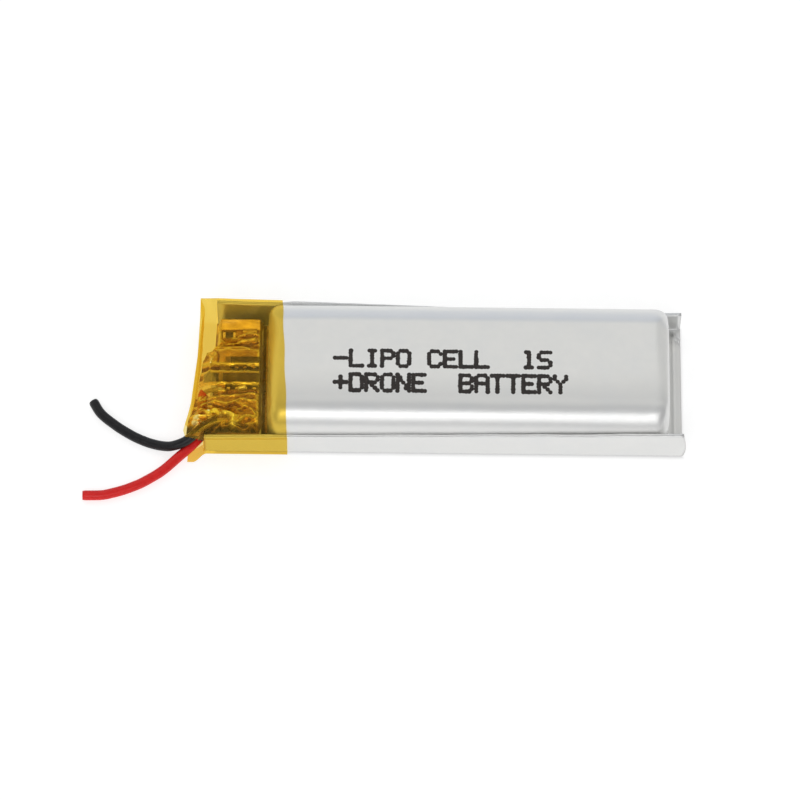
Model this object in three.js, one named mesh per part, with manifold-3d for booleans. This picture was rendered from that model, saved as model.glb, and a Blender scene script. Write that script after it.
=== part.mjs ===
// Small lithium-polymer pouch cell with a protection board under end tape and two bare-ended leads.
// Millimetres. Origin: bottom centre of the pack without its leads. +X tail end, -X lead end,
// +Y far flange, +Z the side with the drawn cup.

import * as THREE from 'three';
import { mergeVertices } from 'three/addons/utils/BufferGeometryUtils.js';
import Module from 'manifold-3d';

const wasm = await Module();
wasm.setup();

// ---- driving dimensions -------------------------------------------------------------------

const PACK_LENGTH = 36.4;
const PACK_THICKNESS = 5.0;
const POUCH_WIDTH = 11.1;
const TAPE = 0.08; // film thickness of both tapes
const SKIN = 0.12; // one ply of pouch laminate
const GAP = 0.01; // clearance between pieces that touch

const HALF_LENGTH = PACK_LENGTH / 2;
const COVER_BASE = TAPE + GAP;
const COVER_TOP = COVER_BASE + SKIN;
const CUP_BASE = COVER_TOP + GAP;
const CUP_TOP = PACK_THICKNESS - TAPE - GAP;

// Cup: a drawn tray with rounded shoulders.
const CUP = { left: -13.1, right: 17.1, halfWidth: 5.1, corner: 1.3 };
const SHOULDER = { along: 0.9, across: 1.5, up: 1.5, steps: 5 };

// Side flanges stand up against the cup; their trimmed edges run slightly out of parallel.
const FLANGE = {
  left: -17.1,
  right: HALF_LENGTH,
  foldRadius: 0.45,
  near: { left: 2.4, right: 3.4 },
  far: { left: 3.6, right: 2.4 },
};

// The flat cover is free to mount on from the end tape's edge to the tail.
const TAPE_EDGE = -12.0;

// Wound electrode roll: four layers repeat with one pitch per turn.
const ROLL = { left: -11.9, length: 28.1, flat: 2.7, core: 0.18, turns: 3.75, gap: 0.015, stepsPerTurn: 12 };
const LAYERS = [
  { name: 'inner_separator', thickness: 0.05, inset: 0, color: 0xf4f4ef, roughness: 0.6, metalness: 0 },
  { name: 'cathode_strip', thickness: 0.12, inset: 0.7, color: 0x2a2a2c, roughness: 0.8, metalness: 0.1 },
  { name: 'outer_separator', thickness: 0.05, inset: 0, color: 0xf4f4ef, roughness: 0.6, metalness: 0 },
  { name: 'anode_strip', thickness: 0.12, inset: 0.4, color: 0x3a3836, roughness: 0.75, metalness: 0.1 },
];
const ROLL_PITCH = LAYERS.reduce((sum, layer) => sum + layer.thickness + ROLL.gap, 0);
const ROLL_HEIGHT = (COVER_TOP + CUP_TOP - SKIN) / 2;
const ROLL_RADIUS = ROLL.core + ROLL_PITCH * (ROLL.turns + 1);

// Tabs: from the core of the roll, out through the seal and back under the board.
const TAB = { y: 1.75, width: 1.9, thickness: 0.1, sealHeight: 0.37, inner: -3, drop: -12.4, fold: -17.3 };
const SEALANT = { width: 2.7, thickness: 0.3, left: -17.15, right: -12.9 };
const BUMP = { width: 3.0, top: 0.66 };

// Protection board stack above the terrace.
const PAPER = { left: -16.9, right: -13.5, bottom: 0.7, top: 0.78, halfWidth: 4.9 };
const RETURN_HEIGHT = 0.87; // centre of a tab's return run under the board
const PAD = { left: -16.6, right: -15.2, width: 2.2, bottom: 0.93, top: 1.08 };
const BOARD = { left: -16.9, right: -13.6, bottom: 1.1, top: 1.7, halfWidth: 4.75 };
const CHIP_BASE = BOARD.top + GAP;

// Leads.
const LEAD = { radius: 0.36, bore: 0.24, strand: 0.19, sides: 8, samples: 30 };

// ---- helpers ------------------------------------------------------------------------------

function asSolid(geometry) {
  const bare = geometry.clone();
  bare.deleteAttribute('normal');
  bare.deleteAttribute('uv');
  const merged = mergeVertices(bare, 1e-5);
  return new wasm.Manifold(new wasm.Mesh({
    numProp: 3,
    vertProperties: new Float32Array(merged.attributes.position.array),
    triVerts: new Uint32Array(merged.index.array),
  }));
}

function asGeometry(solid) {
  const mesh = solid.getMesh();
  const geometry = new THREE.BufferGeometry();
  geometry.setAttribute('position', new THREE.BufferAttribute(mesh.vertProperties, 3));
  geometry.setIndex(new THREE.BufferAttribute(mesh.triVerts, 1));
  geometry.computeVertexNormals();
  return geometry;
}

function slab(low, high) {
  const size = high.map((value, i) => value - low[i]);
  const geometry = new THREE.BoxGeometry(...size);
  return geometry.translate(...high.map((value, i) => (value + low[i]) / 2));
}

function outline(points) {
  return new THREE.Shape(points.map(([u, v]) => new THREE.Vector2(u, v)));
}

// An outline of [y, z] points extruded from x = left to x = right.
function prismAlongX(points, left, right) {
  const geometry = new THREE.ExtrudeGeometry(outline(points), { depth: right - left, bevelEnabled: false });
  const turn = new THREE.Matrix4().makeBasis(
    new THREE.Vector3(0, 1, 0), new THREE.Vector3(0, 0, 1), new THREE.Vector3(1, 0, 0));
  return geometry.applyMatrix4(turn).translate(left, 0, 0);
}

// An outline of [x, z] points extruded from y = near to y = far.
function prismAlongY(points, near, far) {
  const geometry = new THREE.ExtrudeGeometry(outline(points), { depth: far - near, bevelEnabled: false });
  return geometry.rotateX(Math.PI / 2).translate(0, far, 0);
}

// Points of an arc, both ends included.
function arc(cx, cy, radius, from, to, steps) {
  return Array.from({ length: steps + 1 }, (_, i) => {
    const angle = from + (to - from) * i / steps;
    return [cx + radius * Math.cos(angle), cy + radius * Math.sin(angle)];
  });
}

// A path of [u, v] points moved sideways by a distance, to the left of its direction, with mitred corners.
function offsetPath(path, distance) {
  return path.map(([u, v], i) => {
    const before = path[Math.max(i - 1, 0)];
    const after = path[Math.min(i + 1, path.length - 1)];
    const a = new THREE.Vector2(u - before[0], v - before[1]).normalize();
    const b = new THREE.Vector2(after[0] - u, after[1] - v).normalize();
    const along = a.clone().add(b).normalize();
    const reach = distance / Math.max(along.dot(i === 0 ? b : a), 0.5);
    return [u - along.y * reach, v + along.x * reach];
  });
}

// The closed outline of a bent strip about its centre line.
function strip(path, thickness) {
  return [...offsetPath(path, -thickness / 2), ...offsetPath(path, thickness / 2).reverse()];
}

// A closed surface over horizontal rings of equal point counts, from the lowest to the highest.
function loft(rings) {
  const count = rings[0].length;
  const points = rings.flat();
  const index = [];
  for (let ring = 0; ring < rings.length - 1; ring += 1) {
    for (let i = 0; i < count; i += 1) {
      const a = ring * count + i;
      const b = ring * count + (i + 1) % count;
      index.push(a, b, b + count, a, b + count, a + count);
    }
  }
  const top = (rings.length - 1) * count;
  for (let i = 1; i < count - 1; i += 1) {
    index.push(0, i + 1, i);
    index.push(top, top + i, top + i + 1);
  }
  const geometry = new THREE.BufferGeometry();
  geometry.setAttribute('position', new THREE.Float32BufferAttribute(points.flat(), 3));
  geometry.setIndex(index);
  return geometry;
}

function roundedRectangle(left, right, halfWidth, radius, z) {
  const corners = [
    [right, halfWidth, 0], [left, halfWidth, 1], [left, -halfWidth, 2], [right, -halfWidth, 3],
  ];
  return corners.flatMap(([x, y, quarter]) => {
    const cx = x - Math.sign(x - (left + right) / 2) * radius;
    const cy = y - Math.sign(y) * radius;
    const start = quarter * Math.PI / 2;
    return arc(cx, cy, radius, start, start + Math.PI / 2, 3).map(([px, py]) => [px, py, z]);
  });
}

const parts = new THREE.Group();

function add(name, geometry, color, roughness, metalness = 0, extra = {}) {
  const material = new THREE.MeshStandardMaterial({ color, roughness, metalness, ...extra });
  const mesh = new THREE.Mesh(geometry, material);
  mesh.name = name;
  parts.add(mesh);
}

// ---- pouch --------------------------------------------------------------------------------

// The cup's block, shrunk on every side by inset, from z = base to its crown.
function cupBlock(inset, base) {
  const rings = [];
  const ringAt = (angle, z) => {
    const along = (SHOULDER.along - inset) * (1 - Math.cos(angle));
    const across = (SHOULDER.across - inset) * (1 - Math.cos(angle));
    rings.push(roundedRectangle(
      CUP.left + inset + along, CUP.right - inset - along,
      CUP.halfWidth - inset - across, CUP.corner - inset - along * 0.6, z));
  };
  ringAt(0, base);
  for (let i = 0; i <= SHOULDER.steps; i += 1) {
    const angle = i / SHOULDER.steps * Math.PI / 2;
    ringAt(angle, CUP_TOP - SHOULDER.up + (SHOULDER.up - inset) * Math.sin(angle));
  }
  return loft(rings);
}

// A flat ply with both side flanges folded up, then trimmed along their sloping edges. It is made in two
// lengths that join at the end tape's edge, so that the flat face beyond the tape is a face of its own.
function foldedPly(halfWidth, base, radius) {
  const full = Math.max(FLANGE.near.right, FLANGE.far.left) + 0.5;
  const inner = radius - SKIN;
  const outerPath = [
    [-halfWidth, full],
    ...arc(-halfWidth + radius, base + radius, radius, Math.PI, 1.5 * Math.PI, 4),
    ...arc(halfWidth - radius, base + radius, radius, -Math.PI / 2, 0, 4),
    [halfWidth, full],
  ];
  const innerPath = [
    [halfWidth - SKIN, full],
    ...arc(halfWidth - radius, base + radius, inner, 0, -Math.PI / 2, 4),
    ...arc(-halfWidth + radius, base + radius, inner, 1.5 * Math.PI, Math.PI, 4),
    [-halfWidth + SKIN, full],
  ];
  const section = [...outerPath, ...innerPath];
  const taped = asSolid(prismAlongX(section, FLANGE.left, TAPE_EDGE));
  const channel = taped.add(asSolid(prismAlongX(section, TAPE_EDGE, FLANGE.right)));
  return channel.subtract(flangeTrim(FLANGE.near, -1)).subtract(flangeTrim(FLANGE.far, 1));
}

// The wedge that trims one flange to its height at each end of the pack.
function flangeTrim(height, side) {
  const beyond = 1;
  const slope = (height.right - height.left) / (FLANGE.right - FLANGE.left);
  const wedge = [
    [FLANGE.left - beyond, height.left - slope * beyond],
    [FLANGE.right + beyond, height.right + slope * beyond],
    [FLANGE.right + beyond, PACK_THICKNESS + beyond],
    [FLANGE.left - beyond, PACK_THICKNESS + beyond],
  ];
  const edge = POUCH_WIDTH / 2;
  const [near, far] = side < 0 ? [-edge - beyond, -edge + beyond] : [edge - beyond, edge + beyond];
  return asSolid(prismAlongY(wedge, near, far));
}

function pouchCover() {
  return asGeometry(foldedPly(POUCH_WIDTH / 2, COVER_BASE, FLANGE.foldRadius));
}

function pouchCup() {
  const halfWidth = POUCH_WIDTH / 2 - SKIN - GAP;
  let cup = foldedPly(halfWidth, CUP_BASE, FLANGE.foldRadius - SKIN);
  cup = cup.add(asSolid(cupBlock(0, CUP_BASE)));
  for (const y of [TAB.y, -TAB.y]) {
    const low = [FLANGE.left, y - BUMP.width / 2, CUP_BASE];
    const high = [CUP.left + SHOULDER.along, y + BUMP.width / 2, BUMP.top];
    cup = cup.add(asSolid(slab(low, high)));
  }
  cup = cup.subtract(asSolid(cupBlock(SKIN, COVER_BASE)));
  for (const y of [TAB.y, -TAB.y]) {
    const half = SEALANT.width / 2 + GAP;
    const low = [FLANGE.left - 1, y - half, COVER_BASE];
    const high = [CUP.left + SHOULDER.along + 0.3, y + half, TAB.sealHeight + SEALANT.thickness / 2 + GAP];
    cup = cup.subtract(asSolid(slab(low, high)));
  }
  return asGeometry(cup);
}

// ---- electrode roll -----------------------------------------------------------------------

// A point of the flattened spiral, offset from its innermost line.
function spiralPoint(turn, offset) {
  const angle = turn * 2 * Math.PI;
  const radius = ROLL.core + ROLL_PITCH * turn + offset;
  const quarter = Math.round(turn * ROLL.stepsPerTurn) % ROLL.stepsPerTurn;
  const onRight = quarter <= ROLL.stepsPerTurn / 4 || quarter > 3 * ROLL.stepsPerTurn / 4;
  const centre = onRight ? ROLL.flat : -ROLL.flat;
  return [centre + radius * Math.cos(angle), ROLL_HEIGHT + radius * Math.sin(angle)];
}

function spiralStrip(offset, thickness, inset) {
  const count = Math.round(ROLL.turns * ROLL.stepsPerTurn);
  const turns = Array.from({ length: count + 1 }, (_, i) => i / ROLL.stepsPerTurn);
  const inside = turns.map((turn) => spiralPoint(turn, offset));
  const outside = turns.map((turn) => spiralPoint(turn, offset + thickness));
  return prismAlongX([...outside, ...inside.reverse()], ROLL.left + inset, ROLL.left + ROLL.length - inset);
}

function addRoll() {
  let offset = 0;
  for (const layer of LAYERS) {
    const band = spiralStrip(offset, layer.thickness, layer.inset);
    add(layer.name, band, layer.color, layer.roughness, layer.metalness);
    offset += layer.thickness + ROLL.gap;
  }
}

function stadium(radius) {
  const right = arc(ROLL.flat, ROLL_HEIGHT, radius, -Math.PI / 2, Math.PI / 2, 8);
  const left = arc(-ROLL.flat, ROLL_HEIGHT, radius, Math.PI / 2, 1.5 * Math.PI, 8);
  return [...right, ...left];
}

function rollEndTape() {
  const thickness = 0.04;
  const inside = ROLL_RADIUS + 0.05;
  const from = ROLL.left + 8;
  const to = ROLL.left + 20;
  const outer = asSolid(prismAlongX(stadium(inside + thickness), from, to));
  return asGeometry(outer.subtract(asSolid(prismAlongX(stadium(inside), from - 1, to + 1))));
}

// ---- tabs ---------------------------------------------------------------------------------

function tab(y) {
  const path = [
    [TAB.inner, ROLL_HEIGHT],
    [TAB.drop, ROLL_HEIGHT],
    [TAB.drop - 0.05, TAB.sealHeight],
    [TAB.fold, TAB.sealHeight],
    [TAB.fold, RETURN_HEIGHT],
    [PAD.right, RETURN_HEIGHT],
  ];
  return prismAlongY(strip(path, TAB.thickness), y - TAB.width / 2, y + TAB.width / 2);
}

// The film sleeve that seals a tab into the pouch.
function tabSealant(y) {
  const half = SEALANT.width / 2;
  const rise = SEALANT.thickness / 2;
  const outer = slab(
    [SEALANT.left, y - half, TAB.sealHeight - rise],
    [SEALANT.right, y + half, TAB.sealHeight + rise]);
  const slotHalf = TAB.width / 2 + GAP;
  const slotRise = TAB.thickness / 2 + GAP;
  const slot = slab(
    [SEALANT.left - 1, y - slotHalf, TAB.sealHeight - slotRise],
    [SEALANT.right + 1, y + slotHalf, TAB.sealHeight + slotRise]);
  return asGeometry(asSolid(outer).subtract(asSolid(slot)));
}

// ---- protection board ---------------------------------------------------------------------

function boardPad(y) {
  const half = PAD.width / 2;
  return slab([PAD.left, y - half, PAD.bottom], [PAD.right, y + half, PAD.top]);
}

// A moulded chip with gull-wing legs along both long sides, joined into one solid.
function chip({ x, y, length, width, height, legs, pitch, reach }) {
  const standoff = 0.08;
  const base = CHIP_BASE + standoff;
  const draft = 0.07;
  const ringAt = (z, inset) => roundedRectangle(
    x - length / 2 + inset, x + length / 2 - inset, width / 2 - inset, 0.08, z);
  const block = loft([ringAt(base, draft), ringAt(base + height / 2, 0), ringAt(base + height, draft)]);
  let body = asSolid(block.translate(0, y, 0));
  for (const side of [-1, 1]) {
    for (let i = 0; i < legs; i += 1) {
      const cx = x + (i - (legs - 1) / 2) * pitch;
      body = body.add(asSolid(chipLeg(cx, y, side, width / 2, reach, base + height / 2)));
    }
  }
  return asGeometry(body);
}

function chipLeg(x, y, side, halfBody, reach, exitHeight) {
  const thickness = 0.12;
  const foot = CHIP_BASE + thickness / 2;
  const knee = halfBody + 0.12;
  const path = [[halfBody - 0.1, exitHeight], [knee, exitHeight], [knee + 0.08, foot], [reach, foot]];
  const leg = prismAlongX(strip(path, thickness), -0.15, 0.15);
  if (side < 0) leg.rotateZ(Math.PI);
  return leg.translate(x, y, 0);
}

// A chip resistor or capacitor with raised metal end caps.
function chipPassive(x, y, length, width, height) {
  const cap = length * 0.22;
  const body = slab(
    [x - length / 2 + 0.01, y - width / 2 + 0.02, CHIP_BASE],
    [x + length / 2 - 0.01, y + width / 2 - 0.02, CHIP_BASE + height - 0.03]);
  let solid = asSolid(body);
  for (const side of [-1, 1]) {
    const edge = x + side * length / 2;
    const ends = [edge, edge - side * cap].sort((a, b) => a - b);
    solid = solid.add(asSolid(slab(
      [ends[0], y - width / 2, CHIP_BASE], [ends[1], y + width / 2, CHIP_BASE + height])));
  }
  return asGeometry(solid);
}

// A low dome of solder with a notch that clears the lead it holds.
function solderJoint(x, y, radius, path) {
  const profile = [
    [0, 0], [radius, 0], [radius * 0.94, 0.22], [radius * 0.75, 0.45], [radius * 0.42, 0.62], [0, 0.68]];
  const dome = new THREE.LatheGeometry(profile.map(([r, z]) => new THREE.Vector2(r, z)), 12);
  dome.rotateX(Math.PI / 2).translate(x, y, CHIP_BASE);
  const clear = leadTube(path, LEAD.strand + 0.03, 0, 0);
  return asGeometry(asSolid(dome).subtract(asSolid(clear)));
}

// ---- leads --------------------------------------------------------------------------------

// Hand-chosen centre lines: solder joint, along the board's end, out at the near corner, then the floor.
const BLACK_ROUTE = [
  [-15.4, -3.75, 2.2], [-16.2, -3.82, 2.25], [-17.0, -3.98, 2.25], [-17.8, -4.3, 2.05], [-18.5, -4.72, 1.65],
  [-19.3, -5.2, 1.2], [-20.3, -5.4, 0.8], [-21.1, -5.25, 0.52], [-21.9, -5.0, 0.4],
  [-22.57, -4.73, 0.38], [-23.2, -4.42, 0.38], [-23.92, -3.98, 0.38], [-24.6, -3.5, 0.38],
  [-25.7, -2.55, 0.38], [-26.35, -1.5, 0.38],
];
const RED_ROUTE = [
  [-16.5, -1.3, 2.1], [-17.3, -1.34, 2.2], [-17.95, -1.6, 2.12], [-18.08, -2.4, 1.7], [-18.0, -3.35, 1.12],
  [-18.05, -4.25, 0.75], [-18.7, -5.1, 0.6], [-19.75, -6.1, 0.45], [-21.0, -7.3, 0.38],
  [-22.3, -8.2, 0.38], [-23.08, -8.61, 0.38], [-23.9, -8.95, 0.38], [-24.7, -9.2, 0.38],
  [-25.5, -9.38, 0.38], [-26.9, -9.42, 0.38],
];
const BARE_STEPS = 4; // of LEAD.samples: the bare, tinned stretch in the solder joint

function circle(radius) {
  return arc(0, 0, radius, 0, 2 * Math.PI, LEAD.sides).slice(0, -1);
}

// The centre line of a lead, from which the first bareSteps samples are left out.
function leadCurve(route, bareSteps) {
  const points = route.map((point) => new THREE.Vector3(...point));
  const whole = new THREE.CatmullRomCurve3(points, false, 'centripetal');
  const samples = whole.getSpacedPoints(LEAD.samples).slice(bareSteps);
  return new THREE.CatmullRomCurve3(samples, false, 'centripetal');
}

function leadTube(route, radius, bore, bareSteps) {
  const section = outline(circle(radius));
  if (bore > 0) section.holes.push(new THREE.Path(circle(bore).map(([u, v]) => new THREE.Vector2(u, v))));
  return new THREE.ExtrudeGeometry(section, {
    steps: LEAD.samples - bareSteps,
    extrudePath: leadCurve(route, bareSteps),
    bevelEnabled: false,
  });
}

function addLead(name, route, color) {
  add(`${name}_lead`, leadTube(route, LEAD.radius, LEAD.bore, BARE_STEPS), color, 0.45);
  add(`${name}_lead_strands`, leadTube(route, LEAD.strand, 0, 0), 0xb9bbbd, 0.35, 0.9);
}

// ---- tapes --------------------------------------------------------------------------------

// Inner wrap: one film bent over the board, its parts and the lead joints.
function boardWrap() {
  const path = [[-13.4, 1.2], [-13.4, 3.0], [-13.7, 3.25], [-17.1, 3.25], [-17.95, 2.9]];
  return prismAlongY(strip(path, TAPE), -4.9, 4.9);
}

// Outer wrap: a sleeve round the flanges, the board end and the cup's edge, open where the leads leave.
function endTape() {
  const half = POUCH_WIDTH / 2 + GAP;
  const floor = COVER_BASE - GAP;
  const ceiling = CUP_TOP + GAP;
  const bridge = 3.68;
  const roof = [
    [-HALF_LENGTH, 3.3], [-17.4, bridge], [CUP.left - 0.6, bridge], [CUP.left - 0.1, 4.08],
    [CUP.left + 0.05, 4.5], [CUP.left + 0.5, ceiling], [TAPE_EDGE, ceiling],
  ];
  const skin = [...offsetPath(roof, TAPE), [TAPE_EDGE, 0], [-HALF_LENGTH, 0]];
  const lining = [
    [-HALF_LENGTH - 1, 3.3], ...roof, [TAPE_EDGE + 1, ceiling],
    [TAPE_EDGE + 1, floor], [-HALF_LENGTH - 1, floor],
  ];
  const outer = asSolid(prismAlongY(skin, -half - TAPE, half + TAPE));
  return asGeometry(outer.subtract(asSolid(prismAlongY(lining, -half, half))));
}

// ---- assembly -----------------------------------------------------------------------------

const CHIP = { width: 1.05, pitch: 0.65, reach: 0.82 };
const MOSFET = { ...CHIP, x: -15.15, y: -0.5, length: 2.9, height: 0.8, legs: 4 };
const PROTECTION = { ...CHIP, x: -14.9, y: 1.25, length: 2.3, height: 0.85, legs: 3 };

add('pouch_cup', pouchCup(), 0xd3d4d2, 0.35, 0.6);
add('pouch_cover', pouchCover(), 0xd3d4d2, 0.35, 0.6);
addRoll();
add('roll_end_tape', rollEndTape(), 0x3f7d4e, 0.5);
add('positive_tab', tab(TAB.y), 0xd8d9da, 0.3, 0.9);
add('negative_tab', tab(-TAB.y), 0xb8b3a6, 0.35, 0.9);
add('positive_tab_sealant', tabSealant(TAB.y), 0x2b2b2b, 0.5);
add('negative_tab_sealant', tabSealant(-TAB.y), 0x2b2b2b, 0.5);
add('insulating_paper', slab(
  [PAPER.left, -PAPER.halfWidth, PAPER.bottom], [PAPER.right, PAPER.halfWidth, PAPER.top]), 0xd9d2b8, 0.9);
add('positive_pad', boardPad(TAB.y), 0xc4c2bb, 0.3, 0.9);
add('negative_pad', boardPad(-TAB.y), 0xc4c2bb, 0.3, 0.9);
add('protection_board', slab(
  [BOARD.left, -BOARD.halfWidth, BOARD.bottom], [BOARD.right, BOARD.halfWidth, BOARD.top]), 0xb8a36a, 0.5);
add('protection_ic', chip(PROTECTION), 0x1c1c1e, 0.5);
add('dual_mosfet', chip(MOSFET), 0x1c1c1e, 0.5);
add('filter_resistor', chipPassive(-16.15, 3.45, 1.0, 0.5, 0.35), 0x1b1b1b, 0.5);
add('filter_capacitor', chipPassive(-14.6, 3.5, 1.0, 0.5, 0.5), 0xa8865a, 0.6);
add('sense_resistor', chipPassive(-14.5, -2.2, 1.0, 0.5, 0.35), 0x1b1b1b, 0.5);
add('positive_solder', solderJoint(-16.45, -1.35, 0.38, RED_ROUTE), 0xc9ccce, 0.2, 0.95);
add('negative_solder', solderJoint(-15.4, -3.75, 0.62, BLACK_ROUTE), 0xc9ccce, 0.2, 0.95);
addLead('black', BLACK_ROUTE, 0x1c1c1d);
addLead('red', RED_ROUTE, 0xd02a28);
add('board_wrap_tape', boardWrap(), 0xc8841c, 0.3, 0, { transparent: true, opacity: 0.7 });
add('end_tape', endTape(), 0xe0b83c, 0.25, 0, { transparent: true, opacity: 0.6 });

export default parts;
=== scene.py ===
"""Looks for a small lithium-polymer pouch cell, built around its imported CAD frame."""

import math
import random

import bpy
import bmesh
import numpy as np
from mathutils import Matrix, Vector, noise
from mathutils.bvhtree import BVHTree


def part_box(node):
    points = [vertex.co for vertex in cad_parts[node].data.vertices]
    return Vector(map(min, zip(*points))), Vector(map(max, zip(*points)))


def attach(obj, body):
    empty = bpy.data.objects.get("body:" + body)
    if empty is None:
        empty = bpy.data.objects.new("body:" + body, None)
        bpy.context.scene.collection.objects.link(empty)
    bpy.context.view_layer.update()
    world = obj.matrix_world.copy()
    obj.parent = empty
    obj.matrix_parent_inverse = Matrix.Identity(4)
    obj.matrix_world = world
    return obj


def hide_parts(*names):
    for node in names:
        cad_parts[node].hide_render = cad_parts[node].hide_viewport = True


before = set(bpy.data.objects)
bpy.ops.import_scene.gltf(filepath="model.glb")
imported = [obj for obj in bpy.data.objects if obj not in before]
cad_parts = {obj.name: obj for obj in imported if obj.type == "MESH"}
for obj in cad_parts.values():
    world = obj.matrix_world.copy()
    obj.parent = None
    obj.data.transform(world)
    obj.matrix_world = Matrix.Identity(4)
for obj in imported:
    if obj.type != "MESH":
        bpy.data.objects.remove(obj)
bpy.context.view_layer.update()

MM = 0.001
SCENE = bpy.context.scene


def node_box(name):
    """A CAD node's lowest and highest corners, in millimetres."""
    low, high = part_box(name)
    return Vector(low) / MM, Vector(high) / MM


COVER_LOW, COVER_HIGH = node_box("pouch_cover")
CUP_LOW, CUP_HIGH = node_box("pouch_cup")
TAPE_HIGH = node_box("end_tape")[1]

# ---- sizes, in millimetres ---------------------------------------------------------------------

SKIN = 0.12  # one ply of pouch laminate
TAIL_ROOM = 0.12  # kept free at the tail for the flare of the near flange
SHEET_LEFT = COVER_LOW.x
SHEET_RIGHT = COVER_HIGH.x - TAIL_ROOM
COVER_MID = COVER_LOW.z + SKIN / 2
CUP_MID = CUP_LOW.z + SKIN / 2
CUP_TOP_MID = CUP_HIGH.z - SKIN / 2

# The cup's footprint, and its shoulder: how far it runs in from each end, from each side, and down.
CUP_LEFT, CUP_RIGHT, CUP_HALF, CUP_CORNER = -13.1, 16.95, 5.13, 0.9
SHOULDER_ALONG, SHOULDER_ACROSS, SHOULDER_UP = 0.9, 1.6, 1.5
NEAR_STRETCH = 1.25  # the near shoulder's width over the far one's
CREASE = {-1: 0.06, 1: 0.5}  # how much of each long shoulder is a plain slope with a crease at its top

# Side flanges: the fold's centre, and the heights of the trimmed edges at the two ends.
FOLD_CENTRE = 5.2
FOLD_RADIUS = {"cup": 0.16, "cover": 0.29}
FLANGE_TOP = {-1: (2.4, 3.4), 1: (3.8, 2.54)}

TAPE_RIGHT = TAPE_HIGH.x
TAPE_HALF = TAPE_HIGH.y

LEAD_RADIUS = 0.375
STRAND_RADIUS = 0.06

# The leads' centre lines: solder joint, along the board's end, out at the near corner, then the floor.
BLACK_ROUTE = [
    (-15.4, -3.75, 2.2), (-16.2, -3.82, 2.25), (-17.0, -3.98, 2.25), (-17.8, -4.3, 2.05),
    (-18.5, -4.72, 1.65), (-19.3, -5.2, 1.2), (-20.3, -5.4, 0.8), (-21.1, -5.25, 0.52),
    (-21.9, -5.0, 0.4), (-22.57, -4.73, 0.38), (-23.2, -4.42, 0.38), (-23.92, -3.98, 0.38),
    (-24.6, -3.5, 0.38), (-25.7, -2.55, 0.38), (-26.35, -1.5, 0.38),
]
RED_ROUTE = [
    (-16.5, -1.3, 2.1), (-17.3, -1.34, 2.2), (-17.95, -1.6, 2.12), (-18.08, -2.4, 1.7),
    (-18.0, -3.35, 1.12), (-18.05, -4.25, 0.75), (-18.7, -5.1, 0.6), (-19.75, -6.1, 0.45),
    (-21.0, -7.3, 0.38), (-22.3, -8.2, 0.38), (-23.08, -8.61, 0.38), (-23.9, -8.95, 0.38),
    (-24.7, -9.2, 0.38), (-25.5, -9.38, 0.38), (-26.9, -9.42, 0.38),
]

# ---- camera, floor and light -------------------------------------------------------------------

CAMERA_ELEVATION = 62.5
CAMERA_AZIMUTH = -0.5
CAMERA_ROLL = 1.1
CAMERA_DISTANCE = 420.0
CAMERA_TARGET = Vector((-3.18, -0.86, 0.0))
PIXELS_PER_MM = 13.21
IMAGE_WIDTH = 800


def make_camera():
    """The camera, turned about its target and set so that a millimetre there is PIXELS_PER_MM wide."""
    data = bpy.data.cameras.new("camera")
    data.sensor_width = 36.0
    data.lens = PIXELS_PER_MM * CAMERA_DISTANCE * data.sensor_width / IMAGE_WIDTH
    data.clip_start = 0.01
    data.clip_end = 20.0
    camera = bpy.data.objects.new("camera", data)
    azimuth, elevation = math.radians(CAMERA_AZIMUTH), math.radians(CAMERA_ELEVATION)
    back = Vector((
        math.sin(azimuth) * math.cos(elevation),
        -math.cos(azimuth) * math.cos(elevation),
        math.sin(elevation)))
    look = (-back).to_track_quat("-Z", "Y").to_matrix().to_4x4()
    place = Matrix.Translation((CAMERA_TARGET + back * CAMERA_DISTANCE) * MM)
    camera.matrix_world = place @ look @ Matrix.Rotation(math.radians(CAMERA_ROLL), 4, "Z")
    bpy.context.collection.objects.link(camera)
    SCENE.camera = camera


def make_softbox(name, position, target, size, power):
    """A rectangular area light: position and target in millimetres, size as (width, height)."""
    data = bpy.data.lights.new(name, "AREA")
    data.shape = "RECTANGLE"
    data.size, data.size_y = size[0] * MM, size[1] * MM
    data.energy = power
    light = bpy.data.objects.new(name, data)
    light.location = Vector(position) * MM
    aim = Vector(target) - Vector(position)
    light.rotation_mode = "QUATERNION"
    light.rotation_quaternion = aim.to_track_quat("-Z", "Y")
    light.visible_camera = False
    bpy.context.collection.objects.link(light)


# The room's brightness from the front (0) over the top (0.5) to the back (1).
ROOM_STOPS = [
    (0.0, (0.50, 0.50, 0.51)), (0.3, (0.38, 0.385, 0.40)), (0.5, (0.44, 0.45, 0.46)),
    (0.63, (0.715, 0.712, 0.70)), (0.72, (1.07, 1.055, 1.00)), (0.81, (0.70, 0.71, 0.72)),
    (0.89, (0.60, 0.64, 0.71)), (1.0, (0.64, 0.68, 0.76)),
]


def fill_ramp(ramp, stops):
    """Gives a colour ramp its (position, colour) stops."""
    elements = ramp.color_ramp.elements
    while len(elements) < len(stops):
        elements.new(0.5)
    for element, (position, colour) in zip(elements, stops):
        element.position = position
        element.color = (*colour, 1)


def map_range(tree, source, low, high, from_low, from_high):
    """A value moved from one range to another."""
    made = tree.nodes.new("ShaderNodeMapRange")
    limits = {"From Min": from_low, "From Max": from_high, "To Min": low, "To Max": high}
    for name, value in limits.items():
        made.inputs[name].default_value = value
    tree.links.new(source, made.inputs["Value"])
    return made.outputs["Result"]


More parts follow.
